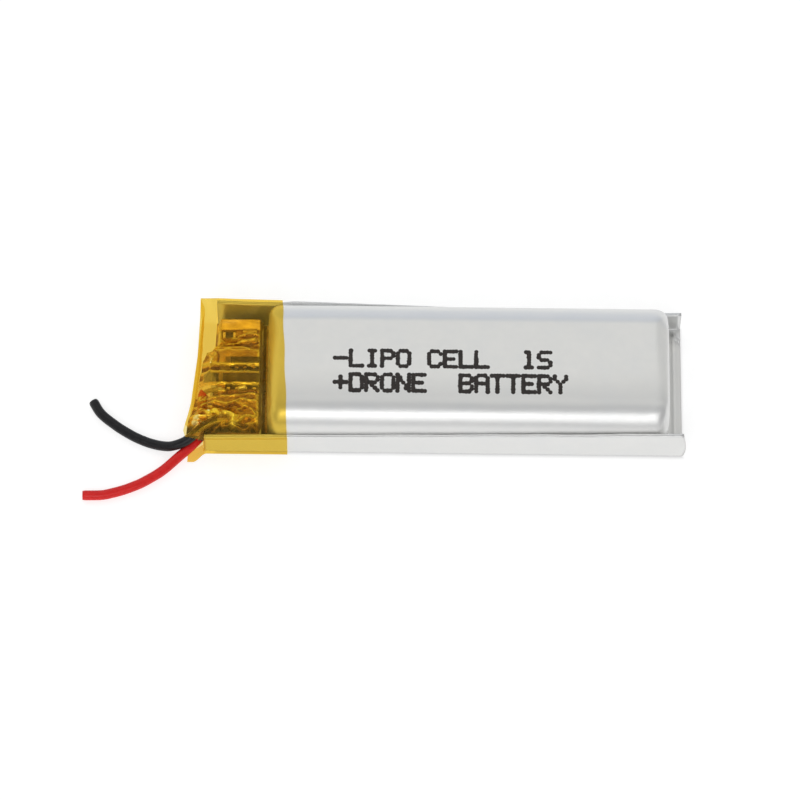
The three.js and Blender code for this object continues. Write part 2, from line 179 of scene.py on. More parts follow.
def shade_world(tree):
    """A pale room: bright above and behind the object, darker overhead and to the right."""
    background = tree.nodes["Background"]
    coordinates = tree.nodes.new("ShaderNodeTexCoord")
    split = tree.nodes.new("ShaderNodeSeparateXYZ")
    ramp = tree.nodes.new("ShaderNodeValToRGB")
    fill_ramp(ramp, ROOM_STOPS)
    links = tree.links
    links.new(coordinates.outputs["Generated"], split.inputs["Vector"])
    links.new(map_range(tree, split.outputs["Y"], 0.0, 1.0, -1.0, 1.0), ramp.inputs["Fac"])
    links.new(ramp.outputs["Color"], background.inputs["Color"])
    links.new(map_range(tree, split.outputs["X"], 1.15, 0.85, 0.05, 0.6), background.inputs["Strength"])


def make_studio():
    """The room, the floor and three softboxes."""
    world = bpy.data.worlds.new("studio")
    world.use_nodes = True
    shade_world(world.node_tree)
    SCENE.world = world
    SCENE.view_settings.view_transform = "Standard"

    floor_mesh = bpy.data.meshes.new("floor")
    side = 6.0  # metres
    floor_mesh.from_pydata(
        [(-side, -side, 0), (side, -side, 0), (side, side, 0), (-side, side, 0)], [], [(0, 1, 2, 3)])
    floor = bpy.data.objects.new("floor", floor_mesh)
    floor.location.z = -0.00002
    floor_mesh.materials.append(floor_material())
    bpy.context.collection.objects.link(floor)

    make_softbox("key", (0, -372, 335), (0, 0, 0), (560, 290), 0.62)
    make_softbox("glint", (-60, -300, 320), (-16, 0, 2), (90, 36), 0.08)
    make_softbox("left_fill", (-480, -60, 220), (0, 0, 0), (260, 260), 0.15)


# ---- material helpers --------------------------------------------------------------------------


class Shader:
    """A material with one Principled shader and small helpers for its procedural inputs."""

    def __init__(self, name, **values):
        self.material = bpy.data.materials.new(name)
        self.material.use_nodes = True
        self.tree = self.material.node_tree
        self.principled = self.tree.nodes["Principled BSDF"]
        self.output = self.tree.nodes["Material Output"]
        self.coordinates = self.node("ShaderNodeTexCoord")
        for key, value in values.items():
            self.principled.inputs[key.replace("_", " ")].default_value = value

    def node(self, kind, **values):
        made = self.tree.nodes.new(kind)
        for key, value in values.items():
            if hasattr(made, key):
                setattr(made, key, value)
            else:
                made.inputs[key.replace("_", " ")].default_value = value
        return made

    def link(self, source, target):
        self.tree.links.new(source, target)

    def place(self, scale=(1, 1, 1)):
        """Object coordinates in millimetres, stretched by scale."""
        mapping = self.node("ShaderNodeMapping")
        mapping.inputs["Scale"].default_value = [1000 * value for value in scale]
        self.link(self.coordinates.outputs["Object"], mapping.inputs["Vector"])
        return mapping.outputs["Vector"]

    def noise(self, scale, detail=4.0, roughness=0.55, stretch=(1, 1, 1), distortion=0.0):
        """Noise with features about 1/scale millimetres apart."""
        texture = self.node(
            "ShaderNodeTexNoise", Scale=scale, Detail=detail, Roughness=roughness, Distortion=distortion)
        self.link(self.place(stretch), texture.inputs["Vector"])
        return texture.outputs["Fac"]

    def ramp(self, source, stops):
        """A colour ramp from (position, colour) stops."""
        ramp = self.node("ShaderNodeValToRGB")
        fill_ramp(ramp, stops)
        self.link(source, ramp.inputs["Fac"])
        return ramp.outputs["Color"]

    def spread(self, source, low, high, from_low=0.3, from_high=0.7):
        """A value moved from its usual range to low..high."""
        return map_range(self.tree, source, low, high, from_low, from_high)

    def thin(self, tint, solid):
        """Lets tinted light through except for the solid share."""
        clear = self.node("ShaderNodeBsdfTransparent")
        clear.inputs["Color"].default_value = (*tint, 1)
        mix = self.node("ShaderNodeMixShader")
        self.link(solid, mix.inputs["Fac"])
        self.link(clear.outputs["BSDF"], mix.inputs[1])
        self.link(self.principled.outputs["BSDF"], mix.inputs[2])
        self.link(mix.outputs["Shader"], self.output.inputs["Surface"])

    def feed(self, socket, source):
        self.link(source, self.principled.inputs[socket])

    def bump(self, height, distance, below=None):
        """Relief of a given depth in millimetres, on top of the relief below."""
        bump = self.node("ShaderNodeBump", Strength=1.0, Distance=distance * MM)
        self.link(height, bump.inputs["Height"])
        if below is not None:
            self.link(below, bump.inputs["Normal"])
        self.link(bump.outputs["Normal"], self.principled.inputs["Normal"])
        return bump.outputs["Normal"]


def floor_material():
    """White paper with an even glow of its own, faded out below the pack as painted contact shade."""
    shader = Shader("floor_paper", Roughness=0.9, Specular_IOR_Level=0.2, Emission_Color=(1, 1, 1, 1))
    grain = shader.noise(0.6, 3)
    shader.feed("Base Color", shader.ramp(grain, [(0.3, (0.40, 0.40, 0.395)), (0.7, (0.43, 0.43, 0.425))]))
    glow = 0.72
    place = shader.place()
    for operation, size in (("SUBTRACT", (COVER_LOW + COVER_HIGH) / 2), ("ABSOLUTE", None),
                            ("SUBTRACT", (COVER_HIGH - COVER_LOW) / 2)):
        step = shader.node("ShaderNodeVectorMath", operation=operation)
        shader.link(place, step.inputs[0])
        if size is not None:
            step.inputs[1].default_value = size
        place = step.outputs["Vector"]
    split = shader.node("ShaderNodeSeparateXYZ")
    shader.link(place, split.inputs["Vector"])
    outside = shader.node("ShaderNodeMath", operation="MAXIMUM")
    shader.link(split.outputs["X"], outside.inputs[0])
    shader.link(split.outputs["Y"], outside.inputs[1])
    # painted contact shade: the glow fades out inside the pack's footprint
    shader.feed("Emission Strength", shader.spread(outside.outputs["Value"], 0.0, glow, -0.6, 0.1))
    return shader.material


def laminate_material():
    """Nylon-faced aluminium laminate: satin silver, with faint mottling and a fine rolled grain."""
    shader = Shader("laminate", Metallic=0.62, Coat_Weight=0.15, Coat_Roughness=0.25)
    mottle = shader.noise(0.45, 5, 0.6)
    shader.feed("Base Color", shader.ramp(mottle, [
        (0.25, (0.735, 0.74, 0.735)), (0.5, (0.752, 0.752, 0.738)), (0.78, (0.77, 0.766, 0.75))]))
    shader.feed("Roughness", shader.spread(shader.noise(2.2, 5), 0.31, 0.38))
    grain = shader.noise(7.0, 2, stretch=(0.3, 1, 1))
    soft = shader.bump(grain, 0.0012)
    shader.bump(shader.noise(0.8, 2), 0.008, below=soft)
    return shader.material


def ink_material():
    """Black ink, unevenly laid and slightly glossy."""
    shader = Shader("ink", Specular_IOR_Level=0.35)
    patch = shader.noise(6.0, 4)
    shader.feed("Base Color", shader.ramp(patch, [
        (0.3, (0.012, 0.010, 0.009)), (0.75, (0.045, 0.035, 0.03))]))
    shader.feed("Roughness", shader.spread(patch, 0.45, 0.7))
    shader.bump(shader.noise(14.0, 2), 0.004)
    return shader.material


def film_material(name, tint, body, share, roughness, relief):
    """Translucent amber film: a tinted clear share and a glossy amber share."""
    shader = Shader(name, IOR=1.6, Metallic=0.3)
    streak = shader.noise(1.1, 4, stretch=(1.6, 0.7, 1))
    shader.feed("Base Color", shader.ramp(streak, [
        (0.25, tuple(0.85 * c for c in body)), (0.75, tuple(min(1.0, 1.1 * c) for c in body))]))
    shader.feed("Roughness", shader.spread(shader.noise(3.0, 3), roughness * 0.7, roughness * 1.4))
    shader.bump(shader.noise(1.6, 3, stretch=(1, 0.6, 1), distortion=0.6), relief)
    shader.thin(tint, shader.spread(streak, share * 0.7, share * 1.3))
    return shader.material


def wrap_material():
    """The crumpled inner film: its colour and cover, painted shade and painted highlights among them, are
    laid on by wrap_paint and broken up by noise.
    """
    shader = Shader("wrap_film", IOR=1.6, Metallic=0.6)
    paint = shader.node("ShaderNodeAttribute", attribute_name="paint")
    mottle = shader.ramp(
        shader.noise(2.4, 4, stretch=(0.7, 1.2, 1)), [(0.3, (0.66, 0.6, 0.5)), (0.7, (1, 1, 1))])
    mixed = shader.node("ShaderNodeMix", data_type="RGBA", blend_type="MULTIPLY", Factor=1.0)
    shader.link(paint.outputs["Color"], mixed.inputs[6])
    shader.link(mottle, mixed.inputs[7])
    shader.feed("Base Color", mixed.outputs[2])
    shader.feed("Roughness", shader.spread(shader.noise(3.0, 3), 0.13, 0.26))
    shader.bump(shader.noise(2.2, 4, stretch=(0.8, 1.2, 1), distortion=0.8), 0.018)
    shader.thin((1.0, 0.86, 0.50), paint.outputs["Alpha"])
    return shader.material


def insulation_material(name, dark, light):
    """Soft lead insulation: satin, with faint handling marks along its length."""
    shader = Shader(name, Specular_IOR_Level=0.22, Coat_Weight=0.1, Coat_Roughness=0.18)
    marks = shader.noise(2.5, 4)
    shader.feed("Base Color", shader.ramp(marks, [(0.3, dark), (0.72, light)]))
    shader.feed("Roughness", shader.spread(shader.noise(5.0, 4), 0.3, 0.44))
    shader.bump(shader.noise(9.0, 3), 0.006)
    return shader.material


def metal_material(name, colour, roughness, grain, stretch=(1, 1, 1), relief=0.006):
    """Bare metal with duller, darker patches and a grain that stretch can draw out."""
    shader = Shader(name, Metallic=1.0)
    patch = shader.noise(1.4, 4)
    shader.feed("Base Color", shader.ramp(patch, [(0.3, tuple(0.82 * c for c in colour)), (0.7, colour)]))
    shader.feed("Roughness", shader.spread(patch, roughness * 0.75, roughness * 1.3))
    shader.bump(shader.noise(grain, 3, stretch=stretch), relief)
    return shader.material


def plain_material(name, dark, light, roughness, grain=5.0, relief=0.006):
    """A solid coloured surface with patches and a fine relief."""
    shader = Shader(name)
    patch = shader.noise(grain * 0.4, 4)
    shader.feed("Base Color", shader.ramp(patch, [(0.3, dark), (0.7, light)]))
    shader.feed("Roughness", shader.spread(patch, roughness * 0.85, min(1.0, roughness * 1.15)))
    shader.bump(shader.noise(grain, 4), relief)
    return shader.material


def board_material():
    """Cream solder mask with a gold pad here and there and a faint glass weave."""
    shader = Shader("board", IOR=1.5)
    weave = shader.node("ShaderNodeTexWave", Scale=2.6, Distortion=0.4, Detail=1.0)
    shader.link(shader.place(), weave.inputs["Vector"])
    cells = shader.node("ShaderNodeTexVoronoi", Scale=1.2)
    shader.link(shader.place(), cells.inputs["Vector"])
    shader.feed("Base Color", shader.ramp(cells.outputs["Distance"], [
        (0.12, (0.62, 0.42, 0.14)), (0.2, (0.66, 0.6, 0.42)), (0.8, (0.72, 0.67, 0.5))]))
    shader.feed("Roughness", shader.spread(shader.noise(4, 3), 0.35, 0.5))
    shader.bump(weave.outputs["Fac"], 0.008)
    return shader.material


# ---- mesh helpers ------------------------------------------------------------------------------


def make_piece(name, points, faces, material, slot, replaced=(), smooth=True):
    """A mesh in millimetres that rides on the root and stands for the named CAD nodes."""
    mesh = bpy.data.meshes.new(name)
    mesh.from_pydata([Vector(point) * MM for point in points], [], faces)
    mesh.materials.append(material)
    piece = bpy.data.objects.new(name, mesh)
    bpy.context.collection.objects.link(piece)
    clean = bmesh.new()
    clean.from_mesh(mesh)
    bmesh.ops.remove_doubles(clean, verts=clean.verts, dist=1e-7)
    bmesh.ops.dissolve_degenerate(clean, edges=clean.edges, dist=1e-8)
    clean.to_mesh(mesh)
    clean.free()
    mesh.polygons.foreach_set("use_smooth", [smooth] * len(mesh.polygons))
    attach(piece, "root")
    if replaced:
        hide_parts(*replaced)
    return piece


def thicken(piece, thickness):
    """Gives a sheet its thickness, half to each side."""
    solid = piece.modifiers.new("thickness", "SOLIDIFY")
    solid.thickness = thickness * MM
    solid.offset = 0.0
    solid.use_even_offset = False
    solid.use_quality_normals = True


def grid_faces(rows, columns, closed=False):
    """Quads over a grid of points stored row by row."""
    last = columns if closed else columns - 1
    faces = []
    for row in range(rows - 1):
        for column in range(last):
            a = row * columns + column
            b = row * columns + (column + 1) % columns
            faces.append((a, b, b + columns, a + columns))
    return faces


def ripple(x, y, scale, seed=0.0):
    """Smooth noise from about -1 to 1, with features about scale millimetres across."""
    return noise.noise(Vector((x / scale + seed, y / scale - seed, seed * 0.7)))


def blend_between(value, low, high):
    """0 below low, 1 above high, and a smooth step between."""
    share = min(max((value - low) / (high - low), 0.0), 1.0)
    return share * share * (3 - 2 * share)


# ---- pouch -------------------------------------------------------------------------------------

LONG_STEPS = 150
SHORT_STEPS = 36
CORNER_STEPS = 14
FILM_RINGS = 9


def eased(y):
    """Stretches the near side's shoulder and closes up the flat face beside it."""
    inset = CUP_HALF + y
    if y > 0:
        return y
    wide = SHOULDER_ACROSS * NEAR_STRETCH
    if inset < SHOULDER_ACROSS:
        return inset * NEAR_STRETCH - CUP_HALF
    return wide + (inset - SHOULDER_ACROSS) * (CUP_HALF - wide) / (CUP_HALF - SHOULDER_ACROSS) - CUP_HALF


def cup_ring(along, across):
    """Points round the cup's footprint, shrunk by along at its ends and across at its sides."""
    radius_x = max(CUP_CORNER - along * 0.4, 0.12)
    left, right, half = CUP_LEFT + along, CUP_RIGHT - along, CUP_HALF - across
    radius_y = min(max(CUP_CORNER - across * 0.4, 0.0), half)
    reach = half - radius_y
    quarter = [math.pi / 2 * i / CORNER_STEPS for i in range(CORNER_STEPS)]
    ring = []
    for side in (-1, 1):
        ends = (left + radius_x, right - radius_x)
        start, stop = ends if side < 0 else ends[::-1]
        end = right if side < 0 else left
        ring += [(start + (stop - start) * i / LONG_STEPS, side * half) for i in range(LONG_STEPS)]
        ring += [(stop - side * radius_x * math.sin(angle), side * (reach + radius_y * math.cos(angle)))
                 for angle in quarter]
        ring += [(end, side * reach * (1 - 2 * i / SHORT_STEPS)) for i in range(SHORT_STEPS)]
        ring += [(stop - side * radius_x * math.cos(angle), -side * (reach + radius_y * math.sin(angle)))
                 for angle in quarter]
    return [(x, eased(y)) for x, y in ring]


def square_corner(start, corner, stop):
    """As many points as a cup corner has, along two straight runs that meet at a corner."""
    half_steps = CORNER_STEPS // 2
    points = []
    for i in range(CORNER_STEPS):
        if i <= half_steps:
            (ax, ay), (bx, by), share = start, corner, i / half_steps
        else:
            (ax, ay), (bx, by), share = corner, stop, (i - half_steps) / (CORNER_STEPS - half_steps)
        points.append((ax + (bx - ax) * share, ay + (by - ay) * share))
    return points


def sheet_ring():
    """The same points moved out to the edge of the flat film between the two folds."""
    ring = []
    inner = cup_ring(0, 0)
    for side in (-1, 1):
        base = 0 if side < 0 else len(inner) // 2
        fold = side * FOLD_CENTRE
        end_x = SHEET_RIGHT if side < 0 else SHEET_LEFT
        start_x = inner[base + LONG_STEPS][0]
        next_x = inner[(base + len(inner) // 2) % len(inner)][0]
        short_y = side * (CUP_HALF - CUP_CORNER)
        ring += [(inner[base + i][0], fold) for i in range(LONG_STEPS)]
        ring += square_corner((start_x, fold), (end_x, fold), (end_x, short_y))
        ring += [(end_x, short_y * (1 - 2 * i / SHORT_STEPS)) for i in range(SHORT_STEPS)]
        ring += square_corner((end_x, -short_y), (end_x, -fold), (next_x, -fold))
    return ring


def flange_top(x, side):
    """Height of a flange's trimmed edge at x."""
    left, right = FLANGE_TOP[side]
    share = (x - SHEET_LEFT) / (SHEET_RIGHT - SHEET_LEFT)
    return left + (right - left) * share + 0.03 * ripple(x, side * 5, 2.2, 3.1)


def flange_lean(x, height, side):
    """How far a flange leans out at x and height: pressed to the cup, with a belly at the tail."""
    rise = max(height - 0.6, 0.0)
    wave = 0.035 * ripple(x, height * 0.6, 3.4, 7.7 + side) + 0.012 * ripple(x, height, 0.9, 2.3 + side)
    tail = blend_between(x, 16.2, 18.2) * 0.10 * math.sin(math.pi * min(rise / 2.8, 1.0))
    closing = 0.1 * blend_between(height, 0.6, 2.5) * (1 - tail / 0.1)
    if side > 0:
        closing -= 0.25 * max(height - 3.0, 0.0) * blend_between(x, -12.4, -11.2)
    return rise * wave * 0.5 - closing + (tail if side < 0 else 0.0)


def flange_point(x, share, ply, side):
    """A point of a folded flange, share 0 at the start of the fold and 1 at the trimmed edge."""
    radius = FOLD_RADIUS[ply]
    arc_share = 0.16
    centre_z = CUP_MID + FOLD_RADIUS["cup"]
    if share < arc_share:
        angle = math.pi / 2 * share / arc_share
        return (x, side * (FOLD_CENTRE + radius * math.sin(angle)), centre_z - radius * math.cos(angle))
    top = flange_top(x, side)
    z = centre_z + (top - centre_z) * (share - arc_share) / (1 - arc_share)
    stretch = 1 + 0.012 * blend_between(x, 17.2, 18.2) * math.sin(math.pi * z / 3.4) if side < 0 else 1
    return (x * stretch, side * (FOLD_CENTRE + radius + flange_lean(x, z, side)), z)


def skewed(points):
    """The pouch's left end is cut a little out of square, so its near side is longer."""
    return [(x - 0.75 * (5.1 - y) / 10.2 * max(-13.0 - x, 0.0) / 4.1, y, z) for x, y, z in points]


def shoulder_width(x, side):
    """How far in the shoulder starts: soft, slow variation along the cell."""
    return SHOULDER_ACROSS * (1 + 0.05 * ripple(x, side * 3, 7.0, 11.0 + side))


DENTS = [  # x, y, radius and depth of the small marks along the far shoulder and on the face
    (-7.0, 3.05, 0.35, 0.018), (-6.1, 3.12, 0.22, 0.014), (-4.9, 3.0, 0.3, 0.016), (-3.4, 3.1, 0.25, 0.016),
    (-1.9, 3.02, 0.3, 0.012), (0.4, 3.1, 0.35, 0.012), (1.6, 3.05, 0.25, 0.012), (11.4, 1.6, 0.5, 0.01),
    (7.9, 2.7, 0.4, 0.012), (13.3, -1.2, 0.5, 0.008),
]


def shoulder_up(y):
    """How far down the shoulder runs: further on the near side."""
    return SHOULDER_UP + 0.5 * blend_between(-y, 2.4, 4.4) - 0.25 * blend_between(y, 2.4, 4.4)


def pillow(y):
    """The face's fall towards its near side."""
    return -0.03 * min(max(-0.3 - y, 0.0), CUP_HALF - 0.3 - NEAR_STRETCH * SHOULDER_ACROSS) ** 2


def face_relief(x, y):
    """Relief of the cup's flat face: slow waves and a few small dents."""
    relief = 0.02 * ripple(x, y, 5.0, 1.3) + 0.007 * ripple(x, y, 1.6, 4.2)
    for dx, dy, radius, depth in DENTS:
        gap = ((x - dx) ** 2 + (y - dy) ** 2) / radius ** 2
        if gap < 4:
            relief -= depth * math.exp(-gap)
    return relief


def film_relief(x, y):
    """Relief of the sealed film round the cup: a crease along the tail and a pinched far corner."""
    tail = blend_between(x, CUP_RIGHT, CUP_RIGHT + 0.3)
    crease = 0.10 * math.exp(-((x - 17.58) / 0.14) ** 2) - 0.10 * blend_between(x, 17.7, 18.2)
    pinch_axis = (x - 17.55) + 1.1 * (y - 4.75)
    pinch_end = blend_between(x, 17.35, 17.8)
    pinch = 0.30 * math.exp(-(pinch_axis / 0.16) ** 2) * pinch_end
    valley = -0.12 * math.exp(-((pinch_axis + 0.32) / 0.12) ** 2) * pinch_end
    return tail * (crease + pinch + valley) + 0.012 * ripple(x, y, 1.2, 9.1)


def cup_skin_points():
    """Rings of the cup's skin, from the middle of its face out to the folds, as lists of points."""
    rings = []
    face_steps = 12
    for i in range(face_steps):
        share = 1 - i / face_steps
        across = SHOULDER_ACROSS + (CUP_HALF - SHOULDER_ACROSS) * share
        along = SHOULDER_ALONG + 2.2 * share
        ring = cup_ring(along, across)
        rings.append([(x, y, CUP_TOP_MID + face_relief(x, y) + pillow(y)) for x, y in ring])
    shoulder_steps = 12
    for i in range(shoulder_steps + 1):
        angle = math.pi / 2 * (1 - i / shoulder_steps)
        fade = 1 - math.cos(angle)
        ring = []
        for x, y in cup_ring(SHOULDER_ALONG * fade, SHOULDER_ACROSS * fade):
            side = 1 if y > 0 else -1
            crease = CREASE[-1] + (CREASE[1] - CREASE[-1]) * blend_between(y, -3.0, 3.0)
            widen = (shoulder_width(x, side) - SHOULDER_ACROSS) * fade * math.sin(angle)
            y -= side * widen * min(abs(y) / 2, 1.0)
            drop = (1 - crease) * (1 - math.sin(angle)) + crease * math.cos(angle)
            drop *= 1 - 0.6 * blend_between(x, 15.4, 16.3) * (1 - blend_between(abs(y), 3.0, 4.6))
            z = CUP_TOP_MID - shoulder_up(y) * drop + face_relief(x, y) * math.sin(angle) ** 2 + pillow(y)
            ring.append((x, y, z))
        rings.append(ring)
    wall_steps = 8
    for i in range(1, wall_steps + 1):
        share = i / wall_steps
        bow = 0.03 * math.sin(math.pi * share)
        ring = []
        for x, y in cup_ring(0, 0):
            wall_top = CUP_TOP_MID - shoulder_up(y) + pillow(y)
            z = wall_top + (CUP_MID + 0.06 - wall_top) * share
            wavy_x = x + 0.02 * ripple(y, z, 1.5, 6.0)
            wavy_y = y - math.copysign(bow, y) + 0.02 * ripple(x, z, 2.5, 5.0)
            ring.append((wavy_x, wavy_y, z))
        rings.append(ring)
    inner, outer = cup_ring(-0.03, -0.03), sheet_ring()
    for i in range(FILM_RINGS + 1):
        share = i / FILM_RINGS
        ring = []
        for (ax, ay), (bx, by) in zip(inner, outer):
            x, y = ax + (bx - ax) * share, ay + (by - ay) * share
            ring.append((x, y, CUP_MID + film_relief(x, y) * min(share * 3, 1.0) * fold_fade(y)))
        rings.append(ring)
    return rings


def fold_fade(y):
    """Film relief dies away at the folds, where the plies are pressed flat."""
    return 1 - blend_between(abs(y), FOLD_CENTRE - 0.35, FOLD_CENTRE)


def long_edge(ring, side):
    """Indices of the sheet ring's points along one fold, from one end of the sheet to the other."""
    picked = [i for i, (x, y) in enumerate(ring) if abs(y - side * FOLD_CENTRE) < 1e-6]
    return sorted(picked, key=lambda i: ring[i][0])


def make_pouch_cup(material):
    """The drawn half of the pouch, with its inner flange plies."""
    rings = cup_skin_points()
    count = len(rings[0])
    points = [point for ring in rings for point in ring]
    faces = grid_faces(len(rings), count, closed=True)
    outline = sheet_ring()
    last = (len(rings) - 1) * count
    flange_rows = 16
    for side in (-1, 1):
        below = [last + i for i in long_edge(outline, side)]
        places = [points[i][0] for i in below]
        for row in range(1, flange_rows + 1):
            start = len(points)
            points += [flange_point(x, row / flange_rows, "cup", side) for x in places]
            above = list(range(start, len(points)))
            for a, b, c, d in zip(below, below[1:], above[1:], above):
                faces.append((a, b, c, d) if side > 0 else (b, a, d, c))
            below = above
    piece = make_piece("pouch_cup_skin", skewed(points), faces, material, "laminate", ["pouch_cup"])
    recalculate_outward(piece)
    thicken(piece, SKIN)
    return piece


def recalculate_outward(piece):
    """Turns a sheet's faces the same way, with its highest face up."""
    clean = bmesh.new()
    clean.from_mesh(piece.data)
    bmesh.ops.recalc_face_normals(clean, faces=clean.faces)
    highest = max(clean.faces, key=lambda face: face.calc_center_median().z)
    if highest.normal.z < 0:
        bmesh.ops.reverse_faces(clean, faces=clean.faces)
    clean.to_mesh(piece.data)
    clean.free()


def make_pouch_cover(material):
    """The flat half of the pouch, with its outer flange plies."""
    columns = 170
    flange_rows = 16
    floor_rows = 24
    points = []
    for column in range(columns):
        x = SHEET_LEFT + (SHEET_RIGHT - SHEET_LEFT) * column / (columns - 1)
        section = [flange_point(x, 1 - row / flange_rows, "cover", -1) for row in range(flange_rows + 1)]
        for row in range(1, floor_rows):
            y = FOLD_CENTRE * (2 * row / floor_rows - 1)
            dip = 0.012 * ripple(x, y, 2.6, 8.4) * fold_fade(y)
            section.append((x, y, COVER_MID + max(dip, -0.05)))
        section += [flange_point(x, row / flange_rows, "cover", 1) for row in range(flange_rows + 1)]
        points += section
    faces = grid_faces(columns, len(points) // columns)
    piece = make_piece("pouch_cover_skin", skewed(points), faces, material, "laminate", ["pouch_cover"])
    thicken(piece, SKIN)
    return piece


# ---- printed mark ------------------------------------------------------------------------------

GLYPHS = {
    " ": [],
    "-": ["", "", "", "#####"],
    "+": ["", "..#", "..#", "#####", "..#", "..#"],
    "1": [".##", "..#", "..#", "..#", "..#", "..#", ".###"],
    "A": [".###", "#...#", "#...#", "#####", "#...#", "#...#", "#...#"],
    "B": ["####", "#...#", "#...#", "####", "#...#", "#...#", "####"],
    "C": [".###", "#...#", "#", "#", "#", "#...#", ".###"],
    "D": ["####", "#...#", "#...#", "#...#", "#...#", "#...#", "####"],
    "E": ["#####", "#", "#", "####", "#", "#", "#####"],
    "I": [".###", "..#", "..#", "..#", "..#", "..#", ".###"],
    "L": ["#", "#", "#", "#", "#", "#", "#####"],
    "N": ["#...#", "##..#", "##..#", "#.#.#", "#..##", "#..##", "#...#"],
    "O": [".###", "#...#", "#...#", "#...#", "#...#", "#...#", ".###"],
    "P": ["####", "#...#", "#...#", "####", "#", "#", "#"],
    "R": ["####", "#...#", "#...#", "####", "#.#", "#..#", "#...#"],
    "S": [".####", "#", "#", ".###", "....#", "....#", "####"],
    "T": ["#####", "..#", "..#", "..#", "..#", "..#", "..#"],
    "Y": ["#...#", "#...#", ".#.#", "..#", "..#", "..#", "..#"],
}
MARK_LINES = ["-LIPO CELL  1S", "+DRONE  BATTERY"]
MARK_LEFT = -8.10
MARK_TOPS = (0.74, -1.26)
DOT_PITCH = 0.215
LETTER_PITCH = 1.176
DOT_RADIUS = 0.182


def make_mark(material, skin):
    """Dots of ink on the cup's face, each a thin lens laid on the skin."""
    surface = surface_of(skin)
    draw = random.Random(12)
    points, faces = [], []
    for text, top in zip(MARK_LINES, MARK_TOPS):
        for letter, glyph in enumerate(text):
            for row, pattern in enumerate(GLYPHS[glyph]):
                for column, dot in enumerate(pattern):
                    if dot != "#":
                        continue
                    x = MARK_LEFT + letter * LETTER_PITCH + column * DOT_PITCH + draw.uniform(-0.015, 0.015)
                    y = top - row * DOT_PITCH + draw.uniform(-0.012, 0.012)
                    add_dot(points, faces, surface, x, y, DOT_RADIUS * draw.uniform(0.88, 1.08))
    make_piece("printed_mark", points, faces, material, "black_insulation")


def add_dot(points, faces, surface, x, y, radius):
    """One dot: an outer ring just above the skin, an inner ring and a crown."""
    sides = 12
    rim, crown = 0.002, 0.009
    start = len(points)
    for share, lift in ((1.0, rim), (0.6, crown)):
        for i in range(sides):
            angle = 2 * math.pi * i / sides
            px, py = x + share * radius * math.cos(angle), y + share * radius * math.sin(angle)
            points.append((px, py, surface_height(surface, px, py) + lift))
    points.append((x, y, surface_height(surface, x, y) + crown))
    for i in range(sides):
        j = (i + 1) % sides
        faces.append((start + i, start + j, start + sides + j, start + sides + i))
        faces.append((start + sides + i, start + sides + j, start + 2 * sides))


def surface_of(piece):
    """The finished faces of a piece, to lay other things on."""
    return BVHTree.FromObject(piece, bpy.context.evaluated_depsgraph_get())


def surface_height(surface, x, y):
    """Height of the uppermost face at x and y, 0 where there is none."""
    above = 20.0
    hit = surface.ray_cast(Vector((x * MM, y * MM, above * MM)), Vector((0, 0, -1)))
    return hit[0].z / MM if hit[0] else 0.0


# ---- leads -------------------------------------------------------------------------------------


SPAN_STEPS = 8


def smooth_route(route):
    """Catmull-Rom points through a route."""
    knots = [Vector(route[0]) * 2 - Vector(route[1])] + [Vector(p) for p in route]
    knots.append(Vector(route[-1]) * 2 - Vector(route[-2]))
    points = []
    for before, a, b, after in zip(knots, knots[1:], knots[2:], knots[3:]):
        for step in range(SPAN_STEPS):
            t = step / SPAN_STEPS
            points.append(0.5 * (
                2 * a + (b - before) * t + (2 * before - 5 * a + 4 * b - after) * t * t
                + (3 * a - before - 3 * b + after) * t ** 3))
    points.append(Vector(route[-1]))
    return points


def route_frames(points):
    """A direction and two steady side vectors at every point of a route."""
    frames = []
    side = Vector((0, 0, 1))
    for i, point in enumerate(points):
        ahead = (points[min(i + 1, len(points) - 1)] - points[max(i - 1, 0)]).normalized()
        side = (side - ahead * side.dot(ahead)).normalized()
        frames.append((point, ahead, side, ahead.cross(side)))
    return frames


def tube(frames, radius_at, sides, centre_at=lambda i: (0.0, 0.0)):
    """Points and faces of a capped tube; radius_at and centre_at take the number of the step."""
    points, faces = [], []
    for i, (point, ahead, side, other) in enumerate(frames):
        u, v = centre_at(i)
        middle = point + side * u + other * v
        for k in range(sides):
            angle = 2 * math.pi * k / sides
            points.append(middle + (side * math.cos(angle) + other * math.sin(angle)) * radius_at(i))
    faces += grid_faces(len(frames), sides, closed=True)
    faces.append(tuple(range(sides))[::-1])
    faces.append(tuple(range(len(points) - sides, len(points))))
    return points, faces


BARE_SHARE = 4 / 30  # of a lead's length: tinned strands in the solder joint


